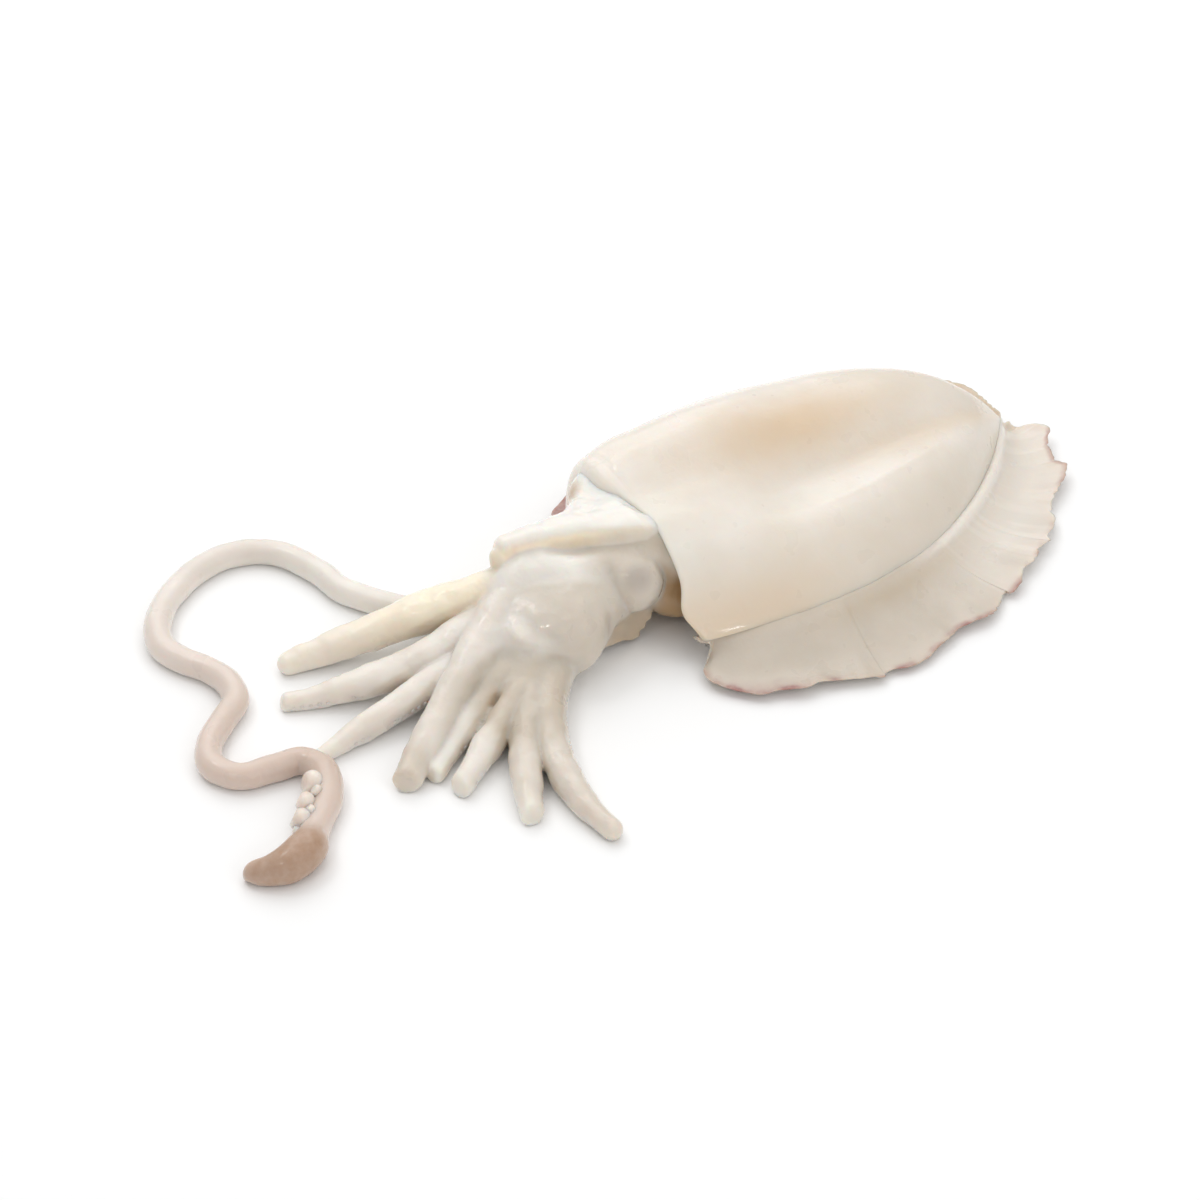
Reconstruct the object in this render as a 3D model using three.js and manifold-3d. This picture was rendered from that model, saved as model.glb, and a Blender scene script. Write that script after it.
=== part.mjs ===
// A whole raw cuttlefish, skinned and thawed, lying on its back on a flat surface.
// Millimetres. X runs along the body from the arms to the tail, Y to its far side, Z up from the surface.
import * as THREE from "three";
import { mergeVertices } from "three/addons/utils/BufferGeometryUtils.js";
import Module from "manifold-3d";

const wasm = await Module();
wasm.setup();

// Sizes below are measured from a point near the middle of the collar, on the surface.
// The body is placed so that the part's origin is the middle of its box instead.
const BODY_PLACE = new THREE.Vector3(-4, -3, 0);

const FLESH_COLOUR = 0xece2d2;
const FLESH_ROUGHNESS = 0.35;

// Mantle: the cone of muscle, blunt at the collar and pointed at the tail
const COLLAR_X = 3.6;
const MIDLINE_Y = 2;
const MANTLE_LENGTH = 148;
const MANTLE_HALF_WIDTH = 43.6;
const WIDEST_AT = 0.33;
const COLLAR_NARROWING = 0.11;
const TAIL_TAPER = 2.2;
const SEAM_HEIGHT = 10;
const COLLAR_RISE = 29.5;
const FAR_ROLL_RISE = 32;
const NEAR_ROLL_RISE = 24.5;
const NEAR_ARCH = { bend: 2.2, fullness: 0.8 };
const FAR_ARCH = { bend: 5, fullness: 0.5 };
const TROUGH = { depth: 6.5, across: -0.24, spread: 0.26 };
const SAG_RUN = [0.05, 0.38];
const ROLL_RUN = [-0.25, 0.6];
const TAIL_RISE_POWER = 7;
const UNDERSIDE_BEND = 5;
const UNDERSIDE_TAIL_RUN = 0.2;
const COLLAR_CUTBACK = 16;
const COLLAR_CUTBACK_FADE = 6;
const POCKET_DEPTH = 16;
const POCKET_WALL = 4.5;
const POCKET_FLOOR_SHARE = 0.7;
const RIM_RUN = 0.014;
const TAIL_RING_AT = 0.985;
const MANTLE_SIDES = 36;
const MANTLE_RINGS = 16;

// Fins: a thin skirt along each seam, its outline given along the body and out from the midline
const NEAR_FIN = {
  side: -1,
  outline: [
    [4, 36], [-1.5, 47], [4, 59], [29, 69], [61, 74], [97, 67.5], [117, 58.5], [133, 49],
    [148, 39], [160, 24], [164.5, 8], [156, -2],
  ],
};
const FAR_FIN = {
  side: 1,
  outline: [
    [6, 36], [2, 45.5], [12, 54], [38, 65], [63, 69.5], [90, 67.5], [117, 58.5], [135, 48],
    [148.5, 38], [158.5, 26], [161, 14], [154, 4],
  ],
};
const FIN_ROOT_OVERLAP = 6;
const FIN_ROOT_DEPTH = 2;
const FIN_ROOT_RUN = [0.01, 0.98];
const FIN_ROOT_THICKNESS = 6;
const FIN_EDGE_THICKNESS = 1.6;
const FIN_EDGE_HEIGHT = 2.2;
const FIN_RUFFLE_HEIGHT = 0.8;
const FIN_RUFFLES = 7;
const FIN_STEPS = 36;
const FIN_ROWS = 5;

// Head, with an eye on each side, and the funnel that lies on top of it
const HEAD_PATH = [[18, 2, 15.5], [-8, 1, 16.5], [-24, -3, 16.5], [-36, -8, 16]];
const HEAD_HALF_WIDTH = 19.5;
const HEAD_HALF_HEIGHT = 12.5;
const HEAD_SIDES = 18;
const EYE_RADIUS = 9.4;
const EYE_PLACE = { x: -6.6, aside: 13.5, z: 20.8 };
const EYE_SIDES = 14;
const FUNNEL_PATH = [[12, 7, 27], [0, 6.2, 31.2], [-16, 8.4, 31.4], [-38, 11.6, 31]];
const FUNNEL_HALF_WIDTH = 15;
const FUNNEL_HALF_HEIGHT = 5.2;
const FUNNEL_TIP_RADIUS = 4.4;
const FUNNEL_SIDES = 14;
const BODY_STEPS = 8;

// Arms from the far side to the near side: root, heading on the surface, turn, length, root and tip radius
const ARMS = [
  { root: [-35.7, 4.9, 24.6], heading: 151, turn: 18, length: 74, radius: 6.4, tip: 3.6 },
  { root: [-35.3, 3.3, 17.4], heading: 189, turn: -35, length: 80, radius: 6.2, tip: 3.0 },
  { root: [-50.2, -3.4, 11.5], heading: 187, turn: -2, length: 71, radius: 5.3, tip: 2.3 },
  { root: [-31.4, 7.2, 25.2], heading: 205, turn: 12, length: 81, radius: 6.9, tip: 4.2 },
  { root: [-43.7, -9.4, 12], heading: 205, turn: 8, length: 54, radius: 4.7, tip: 3.0 },
  { root: [-40.5, -16.8, 11], heading: 208, turn: 5.5, length: 55, radius: 5.1, tip: 3.5 },
  { root: [-31.3, -9.4, 9.4], heading: 215, turn: 33, length: 74, radius: 5.8, tip: 3.8 },
  { root: [-26.4, -11.3, 8], heading: 206, turn: 74, length: 86, radius: 6.3, tip: 3.0 },
];
const ARM_DROP = 1.7;
const ARM_TAPER = 2.2;
const ARM_STEPS = 11;
const ARM_SIDES = 8;

// Tentacle: one long cord that lies in bends and ends in the club, its middle line and radius in plan
const TENTACLE_COURSE = [
  [-34, 13, 4.2], [-56, 25.5, 4.2], [-73.2, 48.4, 4.2], [-81.6, 76.2, 4.2], [-98.6, 86.4, 4.2],
  [-117.5, 80.9, 4.2], [-132.4, 65.8, 4.3], [-132.2, 48.4, 4.2], [-125.3, 31, 4.2], [-135.5, 16.4, 4.1],
  [-146.2, 0.9, 4.2], [-141.2, -7.4, 4.2], [-122.9, -11.4, 4.3], [-119.9, -19.2, 4.6], [-131, -37, 4.3],
  [-139.6, -46, 5.8], [-151.1, -47.6, 4.8], [-156, -44.4, 3.2],
];
const TENTACLE_ROOT_HEIGHT = 14;
const TENTACLE_DROP_RUN = 40;
const TENTACLE_STEPS = 76;
const TENTACLE_SIDES = 8;

// The tubes reach this far below the surface before they are trimmed to a flat resting spot
const SINK = 0.5;
const TRIM_SIZE = 500;
const TRIM_DEPTH = 40;

const WELD = 1e-3;
const CAPSULE_CAP_ROWS = 2;

const { clamp, degToRad, lerp, smoothstep } = THREE.MathUtils;
const UP = new THREE.Vector3(0, 0, 1);

// Moves every vertex of a geometry to where the map says.
function reshape(geometry, map) {
  const position = geometry.getAttribute("position");
  const vertex = new THREE.Vector3();
  for (let i = 0; i < position.count; i += 1) {
    vertex.fromBufferAttribute(position, i);
    const moved = map(vertex);
    position.setXYZ(i, moved.x, moved.y, moved.z);
  }
  return geometry;
}

// A closed geometry as a solid that can be joined and cut.
function solidOf(geometry) {
  const bare = geometry.clone();
  bare.deleteAttribute("normal");
  bare.deleteAttribute("uv");
  const merged = mergeVertices(bare, WELD);
  const mesh = new wasm.Mesh({
    numProp: 3,
    vertProperties: new Float32Array(merged.getAttribute("position").array),
    triVerts: new Uint32Array(merged.index.array),
  });
  return new wasm.Manifold(mesh);
}

// A solid back as a geometry.
function geometryOf(solid) {
  const mesh = solid.getMesh();
  const geometry = new THREE.BufferGeometry();
  geometry.setAttribute("position", new THREE.BufferAttribute(mesh.vertProperties, 3));
  geometry.setIndex(new THREE.BufferAttribute(mesh.triVerts, 1));
  geometry.computeVertexNormals();
  return geometry;
}

function curveThrough(points) {
  return new THREE.CatmullRomCurve3(points.map((p) => new THREE.Vector3(...p)));
}

// Half the mantle's width a share t of the way from collar to tail.
function mantleHalfWidth(t) {
  if (t < WIDEST_AT) {
    return MANTLE_HALF_WIDTH * (1 - COLLAR_NARROWING * (1 - t / WIDEST_AT) ** 2);
  }
  return MANTLE_HALF_WIDTH * (1 - ((t - WIDEST_AT) / (1 - WIDEST_AT)) ** TAIL_TAPER);
}

// Height of the mantle's upper side above the seam, s being -1 at the near seam and 1 at the far seam.
// The collar is a plain arch. Behind it the near half sags and the far half stands up as a roll.
function mantleRise(t, s) {
  const sag = smoothstep(t, ...SAG_RUN);
  const side = s < 0 ? NEAR_ARCH : FAR_ARCH;
  const arch = (1 - Math.min(1, Math.abs(s)) ** side.bend) ** side.fullness;
  const rolls = lerp(NEAR_ROLL_RISE, FAR_ROLL_RISE, smoothstep(s, ...ROLL_RUN));
  const trough = TROUGH.depth * sag * Math.exp(-(((s - TROUGH.across) / TROUGH.spread) ** 2));
  const tail = 1 - t ** TAIL_RISE_POWER;
  return arch * tail * (lerp(COLLAR_RISE, rolls, sag) - trough);
}

// The mantle is turned from a profile with its pocket at the collar, then pushed into its true section.
function mantleGeometry() {
  const wall = 1 - POCKET_WALL / MANTLE_HALF_WIDTH;
  const floor = POCKET_DEPTH / MANTLE_LENGTH;
  const profile = [
    new THREE.Vector2(0, floor),
    new THREE.Vector2(wall * POCKET_FLOOR_SHARE, floor),
    new THREE.Vector2(wall, floor / 2),
    new THREE.Vector2(wall, RIM_RUN),
    new THREE.Vector2((wall + 1) / 2, 0),
  ];
  for (let ring = 0; ring < MANTLE_RINGS; ring += 1) {
    profile.push(new THREE.Vector2(1, lerp(RIM_RUN, TAIL_RING_AT, ring / (MANTLE_RINGS - 1))));
  }
  profile.push(new THREE.Vector2(0, 1));
  const turned = new THREE.LatheGeometry(profile, MANTLE_SIDES);
  return reshape(turned, (p) => {
    const t = p.y;
    const r = Math.hypot(p.x, p.z);
    const s = r > 0 ? -p.x / r : 0;
    const upward = r > 0 ? p.z / r : 0;
    const tail = smoothstep(1 - t, 0, UNDERSIDE_TAIL_RUN);
    const below = (SEAM_HEIGHT + SINK) * (1 - Math.abs(s) ** UNDERSIDE_BEND) * tail;
    const height = upward > 0 ? mantleRise(t, s) : -below;
    const cutback = COLLAR_CUTBACK * r * Math.max(0, -upward) * (1 - t) ** COLLAR_CUTBACK_FADE;
    return new THREE.Vector3(
      COLLAR_X + t * MANTLE_LENGTH + cutback,
      MIDLINE_Y + r * s * mantleHalfWidth(t),
      SEAM_HEIGHT + r * height,
    );
  });
}

// A fin is a sheet from inside the seam out to its outline, sinking to the surface on the way.
function finGeometry(fin) {
  const edge = curveThrough(fin.outline.map(([x, out]) => [x, MIDLINE_Y + fin.side * out, 0]));
  const sheet = new THREE.BoxGeometry(1, 1, 1, FIN_STEPS, FIN_ROWS, 1);
  return reshape(sheet, (p) => {
    const share = 0.5 + fin.side * p.x;
    const out = p.y + 0.5;
    const t = lerp(...FIN_ROOT_RUN, share);
    const breadth = mantleHalfWidth(t) - FIN_ROOT_OVERLAP;
    const root = new THREE.Vector3(COLLAR_X + t * MANTLE_LENGTH, MIDLINE_Y + fin.side * breadth, 0);
    const place = root.lerp(edge.getPointAt(share), out);
    const middle = lerp(FIN_EDGE_HEIGHT, SEAM_HEIGHT - FIN_ROOT_DEPTH, (1 - out) ** 2);
    const ruffle = FIN_RUFFLE_HEIGHT * out ** 2 * Math.sin(2 * Math.PI * FIN_RUFFLES * share);
    const thickness = lerp(FIN_ROOT_THICKNESS, FIN_EDGE_THICKNESS, Math.sqrt(out));
    return place.setZ(middle + ruffle + p.z * thickness);
  });
}

// A round-ended tube bent along a curve, its half width and half height given a share u along it.
function fleshTube(curve, steps, sides, halfWidth, halfHeight) {
  const capsule = new THREE.CapsuleGeometry(1, 1, CAPSULE_CAP_ROWS, sides, steps);
  return reshape(capsule, (p) => {
    const u = clamp(p.y + 0.5, 0, 1);
    const beyond = p.y + 0.5 - u;
    const along = curve.getTangentAt(u);
    const aside = new THREE.Vector3().crossVectors(UP, along).normalize();
    const above = new THREE.Vector3().crossVectors(along, aside);
    const end = Math.min(halfWidth(u), halfHeight(u));
    return curve.getPointAt(u)
      .addScaledVector(along, beyond * end)
      .addScaledVector(aside, p.z * halfWidth(u))
      .addScaledVector(above, p.x * halfHeight(u));
  });
}

function headGeometry() {
  const width = () => HEAD_HALF_WIDTH;
  const height = () => HEAD_HALF_HEIGHT;
  return fleshTube(curveThrough(HEAD_PATH), BODY_STEPS, HEAD_SIDES, width, height);
}

function eyeGeometry(side) {
  const ball = new THREE.SphereGeometry(EYE_RADIUS, EYE_SIDES, EYE_SIDES / 2);
  return ball.translate(EYE_PLACE.x, MIDLINE_Y + side * EYE_PLACE.aside, EYE_PLACE.z);
}

function funnelGeometry() {
  const width = (u) => lerp(FUNNEL_HALF_WIDTH, FUNNEL_TIP_RADIUS, u);
  const height = (u) => lerp(FUNNEL_HALF_HEIGHT, FUNNEL_TIP_RADIUS, u);
  return fleshTube(curveThrough(FUNNEL_PATH), BODY_STEPS, FUNNEL_SIDES, width, height);
}

// An arm leaves the crown high up, falls to the surface and lies along it to its tip.
function armGeometry(arm) {
  const radius = (u) => lerp(arm.radius, arm.tip, u ** ARM_TAPER);
  const points = [];
  const spot = new THREE.Vector3(...arm.root);
  for (let i = 0; i <= ARM_STEPS; i += 1) {
    const u = i / ARM_STEPS;
    const lying = radius(u) - SINK;
    const z = lerp(lying, arm.root[2], (1 - u) ** ARM_DROP);
    points.push(new THREE.Vector3(spot.x, spot.y, Math.max(z, lying)));
    const heading = degToRad(arm.heading + arm.turn * (u + 0.5 / ARM_STEPS));
    spot.x += (arm.length / ARM_STEPS) * Math.cos(heading);
    spot.y += (arm.length / ARM_STEPS) * Math.sin(heading);
  }
  return fleshTube(new THREE.CatmullRomCurve3(points), ARM_STEPS, ARM_SIDES, radius, radius);
}

// The tentacle starts at the head's height, falls to the surface and lies along it to the club's tip.
function tentacleGeometry() {
  const course = curveThrough(TENTACLE_COURSE);
  const length = course.getLength();
  const radius = (u) => course.getPointAt(u).z;
  const points = [];
  for (let i = 0; i <= TENTACLE_STEPS; i += 1) {
    const u = i / TENTACLE_STEPS;
    const fall = smoothstep(u * length, 0, TENTACLE_DROP_RUN);
    const spot = course.getPointAt(u);
    points.push(spot.setZ(lerp(TENTACLE_ROOT_HEIGHT, spot.z - SINK, fall)));
  }
  return fleshTube(new THREE.CatmullRomCurve3(points), TENTACLE_STEPS, TENTACLE_SIDES, radius, radius);
}

// All of the animal is one piece of flesh, cut flat where it rests.
function cuttlefishGeometry() {
  const pieces = [
    finGeometry(FAR_FIN),
    finGeometry(NEAR_FIN),
    headGeometry(),
    eyeGeometry(1),
    eyeGeometry(-1),
    funnelGeometry(),
    ...ARMS.map(armGeometry),
    tentacleGeometry(),
  ];
  const flesh = pieces.reduce((whole, piece) => whole.add(solidOf(piece)), solidOf(mantleGeometry()));
  const below = new THREE.BoxGeometry(TRIM_SIZE, TRIM_SIZE, TRIM_DEPTH).translate(0, 0, -TRIM_DEPTH / 2);
  return geometryOf(flesh.subtract(solidOf(below)));
}

const flesh = new THREE.MeshStandardMaterial({
  color: FLESH_COLOUR,
  roughness: FLESH_ROUGHNESS,
  metalness: 0,
});
const cuttlefish = new THREE.Mesh(cuttlefishGeometry(), flesh);
cuttlefish.name = "cuttlefish";
cuttlefish.position.copy(BODY_PLACE);

const part = new THREE.Group();
part.add(cuttlefish);

export default part;
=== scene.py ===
"""Looks of a whole raw cuttlefish, skinned and thawed, lying on its back on a flat surface.

Shapes are worked out in millimetres on the body's own axes: X from the arms to the tail, Y to the far side
and Z up from the surface. BODY_PLACE carries them to the frame's origin, and every mesh is stored in metres.
"""
import logging
import math
from dataclasses import dataclass, field
from enum import Enum
from typing import Callable, Iterator

import bpy
import numpy as np
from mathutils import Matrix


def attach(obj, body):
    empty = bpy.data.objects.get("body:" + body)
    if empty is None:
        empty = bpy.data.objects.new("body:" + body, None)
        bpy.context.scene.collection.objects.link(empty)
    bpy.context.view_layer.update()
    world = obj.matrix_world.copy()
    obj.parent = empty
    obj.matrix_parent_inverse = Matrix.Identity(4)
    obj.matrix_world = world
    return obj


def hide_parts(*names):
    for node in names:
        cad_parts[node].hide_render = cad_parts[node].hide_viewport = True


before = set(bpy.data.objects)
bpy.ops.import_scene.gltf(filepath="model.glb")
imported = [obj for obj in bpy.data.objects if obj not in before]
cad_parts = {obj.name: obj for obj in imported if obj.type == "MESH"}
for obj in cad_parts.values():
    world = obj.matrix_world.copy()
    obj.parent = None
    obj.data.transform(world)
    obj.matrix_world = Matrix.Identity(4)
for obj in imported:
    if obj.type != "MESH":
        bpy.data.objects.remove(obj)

import openvdb
from mathutils import Vector

Array = np.ndarray
Number = float | np.ndarray
Band = tuple[float, float]
Colour = tuple[float, float, float]
Place = tuple[float, float, float]
Faces = list[list[int]]
Socket = bpy.types.NodeSocket

LOG = logging.getLogger("cuttlefish")
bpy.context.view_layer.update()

MM = 0.001
BODY_PLACE = np.array((-4.0, -3.0, 0.0))
CAD_NODE = "cuttlefish"
CAD_BODY = "root"
# How far a round strand sinks into its own flat foot
SINK = 0.5
# Where most of a noise texture's values lie
NOISE_MIDDLE: Band = (0.32, 0.68)


class Side(Enum):
    """Which side of the midline a paired piece lies on, as the sign of Y."""

    NEAR = -1
    FAR = 1


class Layer(Enum):
    """Vertex layers that say where a colour belongs on the flesh, painted light and shade among them."""

    STAIN = "stain"
    PALE = "pale"
    TAN = "tan"
    YELLOW = "yellow"
    GREY = "grey"
    OLIVE = "olive"
    BROWN = "brown"
    BLUSH = "blush"
    # Painted shade in the clefts between the arms
    CLEFT_SHADE = "cleft_shade"


# Plain mathematics

def lerp(first: Number, last: Number, share: Number) -> Number:
    """The value a share of the way from first to last."""
    return first + (last - first) * share


def smoothstep(value: Number, low: float, high: float) -> Array:
    """Rises smoothly from 0 at low to 1 at high."""
    share = np.clip((np.asarray(value, float) - low) / (high - low), 0.0, 1.0)
    return share * share * (3.0 - 2.0 * share)


def fade(value: Number, low: float, high: float) -> Array:
    """Falls smoothly from 1 at low to 0 at high."""
    return 1.0 - smoothstep(value, low, high)


def hill(value: Number, middle: float, spread: float) -> Array:
    """A smooth hill of height 1 round the middle."""
    return np.exp(-(((value - middle) / spread) ** 2))


def soft_max(first: Array, second: Array, softness: Number) -> Array:
    """The larger of two distances, one running into the other over the softness."""
    share = np.clip(0.5 + 0.5 * (second - first) / softness, 0.0, 1.0)
    return lerp(first, second, share) + softness * share * (1.0 - share)


def highest(*layers: Array) -> Array:
    """The highest of several layers at each place."""
    return np.maximum.reduce(layers)


def run_along(line: Array) -> Array:
    """Distance passed at each point of a line, from 0 at its start."""
    return np.concatenate([[0.0], np.cumsum(np.linalg.norm(np.diff(line, axis=0), axis=1))])


def gap_to_line(points: Array, line: Array, radii: Number = 0.0) -> Array:
    """Distance from each point to the nearest point of a line, less the line's radius there."""
    return np.min(np.linalg.norm(points[:, None, :] - line[None], axis=2) - radii, axis=1)


def cube_corners(share: Array) -> Iterator[tuple[Array, Array]]:
    """Goes round the corners of a unit cube.

    Args:
        share: Places inside the cube, one in each row.

    Yields:
        Each corner, and its weight at every place.
    """
    for corner in np.ndindex(2, 2, 2):
        step = np.array(corner)
        yield step, np.prod(np.where(step == 1, share, 1.0 - share), axis=-1)


def smooth_line(points: tuple | Array, count: int) -> Array:
    """Evenly spaced points on a smooth curve through a few given ones.

    Args:
        points: The places that the curve passes through.
        count: How many points to return.

    Returns:
        An array of count rows, one place each.
    """
    given = np.asarray(points, float)
    padded = np.vstack([2 * given[0] - given[1], given, 2 * given[-1] - given[-2]])
    steps = np.linspace(0, len(given) - 1, 60 * len(given))
    index = np.minimum(steps.astype(int), len(given) - 2)
    share = (steps - index)[:, None]
    a, b, c, d = (padded[index + k] for k in range(4))
    bent = (2 * a - 5 * b + 4 * c - d) * share**2 + (3 * b - a - 3 * c + d) * share**3
    fine = 0.5 * (2 * b + (c - a) * share + bent)
    run = run_along(fine)
    even = np.linspace(0, run[-1], count)
    return np.stack([np.interp(even, run, fine[:, k]) for k in range(fine.shape[1])], axis=-1)


class SoftNoise:
    """Smooth seeded noise in space, from -1 to 1."""

    PRIMES = np.array((73856093, 19349663, 83492791))
    TABLE_SIZE = 4096

    def __init__(self, seed: int) -> None:
        """Fills the table that the noise is read from."""
        self.table = np.random.default_rng(seed).uniform(-1.0, 1.0, self.TABLE_SIZE)

    def at(self, points: Array, size: float) -> Array:
        """Noise at many places.

        Args:
            points: Places in millimetres, one in each row.
            size: The size of a blotch in millimetres.

        Returns:
            One value for each place.
        """
        scaled = np.asarray(points, float) / size
        base = np.floor(scaled).astype(np.int64)
        share = scaled - base
        share = share * share * (3.0 - 2.0 * share)
        total = np.zeros(scaled.shape[:-1])
        for corner, weight in cube_corners(share):
            key = (base + corner) @ self.PRIMES
            total += weight * self.table[(key ^ (key >> 13)) % self.TABLE_SIZE]
        return total

    def layered(self, points: Array, sizes: tuple[Band, ...]) -> Array:
        """Noise of several heights and blotch sizes, added up."""
        return sum(height * self.at(points, size) for height, size in sizes)


# Meshes from arrays

def tube_faces(rows: int, columns: int) -> Faces:
    """Four-sided faces of a grid whose columns join round into a ring.

    Args:
        rows: How many rings of vertices there are.
        columns: How many vertices each ring has.

    Returns:
        The faces.
    """
    index = np.arange(rows * columns).reshape(rows, columns)
    around = np.roll(index, -1, axis=1)
    corners = (index[:-1], around[:-1], around[1:], index[1:])
    return np.stack([c.ravel() for c in corners], axis=-1).tolist()


def fan_faces(ring: Array, tip: int) -> Faces:
    """Three-sided faces from a ring of vertices to one tip."""
    return np.stack([ring, np.roll(ring, -1), np.full(len(ring), tip)], axis=-1).tolist()


def triangles_of(faces: Faces) -> Array:
    """Faces of three or four sides as triangles."""
    rest = [[f[0], f[2], f[3]] for f in faces if len(f) == 4]
    return np.array([f[:3] for f in faces] + rest)


def outward(points: Array, faces: Faces) -> Faces:
    """Turns a closed mesh the right way out.

    Args:
        points: The vertices.
        faces: The faces, all pointing inwards or all outwards.

    Returns:
        The faces, pointing outwards.
    """
    a, b, c = (points[triangles_of(faces)[:, k]] for k in range(3))
    volume = np.einsum("ij,ij->i", a, np.cross(b, c)).sum()
    return faces if volume > 0 else [f[::-1] for f in faces]


def vertex_normals(points: Array, faces: Faces) -> Array:
    """Works out the normals from the faces round each vertex.

    Args:
        points: The vertices.
        faces: The faces.

    Returns:
        A unit normal for each vertex.
    """
    triangles = triangles_of(faces)
    a, b, c = (points[triangles[:, k]] for k in range(3))
    across = np.cross(b - a, c - a)
    normals = np.zeros_like(points)
    for k in range(3):
        np.add.at(normals, triangles[:, k], across)
    return normals / np.maximum(np.linalg.norm(normals, axis=1, keepdims=True), 1e-12)


def flesh_mesh(name: str, points: Array, faces: Faces, layers: dict[Layer, Array]) -> bpy.types.Mesh:
    """A smooth mesh in the frame's place and units.

    Args:
        name: The mesh's name.
        points: Vertices in millimetres on the body's axes.
        faces: Vertex numbers of each face.
        layers: Values at the vertices for each named layer.

    Returns:
        The mesh.
    """
    mesh = bpy.data.meshes.new(name)
    mesh.from_pydata(((points + BODY_PLACE) * MM).tolist(), [], faces)
    for layer, values in layers.items():
        attribute = mesh.attributes.new(layer.value, "FLOAT", "POINT")
        attribute.data.foreach_set("value", np.clip(values, 0.0, 1.0).astype(np.float32))
    mesh.shade_smooth()
    return mesh


# Nodes

class NodeBench:
    """Adds nodes to one tree and joins them up."""

    def __init__(self, tree: bpy.types.NodeTree) -> None:
        """Starts on a tree."""
        self.tree = tree

    def add(self, kind: str, inputs: dict | None = None, **settings: object) -> bpy.types.Node:
        """A new node.

        Args:
            kind: The node's type name.
            inputs: A value, or another node's output, for each input by name or number.
            settings: The node's own options.

        Returns:
            The node.
        """
        node = self.tree.nodes.new(kind)
        for option, value in settings.items():
            setattr(node, option, value)
        for key, value in (inputs or {}).items():
            if isinstance(value, Socket):
                self.tree.links.new(value, node.inputs[key])
            else:
                node.inputs[key].default_value = value
        return node

    def maths(self, operation: str, first: Socket | float, second: Socket | float) -> Socket:
        """The result of one operation on two numbers."""
        return self.add("ShaderNodeMath", {0: first, 1: second}, operation=operation).outputs[0]

    def named(self, name: str, kind: str) -> Socket:
        """A named attribute of the points."""
        node = self.add("GeometryNodeInputNamedAttribute", {"Name": name}, data_type=kind)
        return node.outputs["Attribute"]

    def scaled(self, vector: Socket | Place, scale: Socket) -> Socket:
        """A vector times a number."""
        return self.add("ShaderNodeVectorMath", {0: vector, "Scale": scale}, operation="SCALE").outputs[0]

    def moved(self, geometry: Socket, **places: Socket) -> Socket:
        """A geometry with its points moved by an Offset or to a Position."""
        return self.add("GeometryNodeSetPosition", {"Geometry": geometry, **places}).outputs[0]

    def close(self, geometry: Socket, flesh: Socket) -> bpy.types.NodeTree:
        """Ends a growing tree: smooth, realized and dressed.

        Args:
            geometry: What the tree has made.
            flesh: The material.

        Returns:
            The tree.
        """
        real = self.add("GeometryNodeRealizeInstances", {"Geometry": geometry}).outputs[0]
        smooth = self.add("GeometryNodeSetShadeSmooth", {"Geometry": real}).outputs[0]
        dressed = self.add("GeometryNodeSetMaterial", {"Geometry": smooth, "Material": flesh}).outputs[0]
        self.add("NodeGroupOutput", {"Geometry": dressed})
        return self.tree


def growing_tree(name: str, inputs: dict[str, str]) -> tuple[NodeBench, bpy.types.Node]:
    """A Geometry Nodes tree with a geometry in and out and further named inputs.

    Args:
        name: The tree's name.
        inputs: The socket type of each further input, by name.

    Returns:
        The bench for the tree, and its group input node.
    """
    tree = bpy.data.node_groups.new(name, "GeometryNodeTree")
    tree.interface.new_socket("Geometry", in_out="INPUT", socket_type="NodeSocketGeometry")
    for label, kind in inputs.items():
        tree.interface.new_socket(label, in_out="INPUT", socket_type=kind)
    tree.interface.new_socket("Geometry", in_out="OUTPUT", socket_type="NodeSocketGeometry")
    bench = NodeBench(tree)
    return bench, bench.add("NodeGroupInput")


def grown_mesh(name: str, start: bpy.types.Mesh, tree: bpy.types.NodeTree, values: dict) -> bpy.types.Mesh:
    """What a Geometry Nodes tree makes of a mesh, as a plain mesh.

    Args:
        name: The result's name.
        start: The mesh that the tree works on.
        tree: The tree.
        values: A value for each of the tree's named inputs.

    Returns:
        The evaluated mesh, with nothing left to evaluate.
    """
    carrier = bpy.data.objects.new(name + "_carrier", start)
    bpy.context.scene.collection.objects.link(carrier)
    modifier = carrier.modifiers.new(name, "NODES")
    modifier.node_group = tree
    for socket in tree.interface.items_tree:
        if socket.in_out == "INPUT" and socket.name in values:
            modifier[socket.identifier] = values[socket.name]
    depsgraph = bpy.context.evaluated_depsgraph_get()
    mesh = bpy.data.meshes.new_from_object(carrier.evaluated_get(depsgraph), depsgraph=depsgraph)
    mesh.name = name
    carrier.modifiers.remove(modifier)
    bpy.data.objects.remove(carrier)
    return mesh


# Finishes

def linear(red: float, green: float, blue: float) -> Colour:
    """A screen colour, 0 to 255 in each channel, as the light it stands for."""
    return tuple(((v / 255 + 0.055) / 1.055) ** 2.4 for v in (red, green, blue))


@dataclass(frozen=True)
class Tint:
    """A colour that a vertex layer brings in, how strongly, and how much noise breaks it up."""

    layer: Layer
    colour: Colour
    strength: float = 1.0
    mottled: float = 0.0


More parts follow.
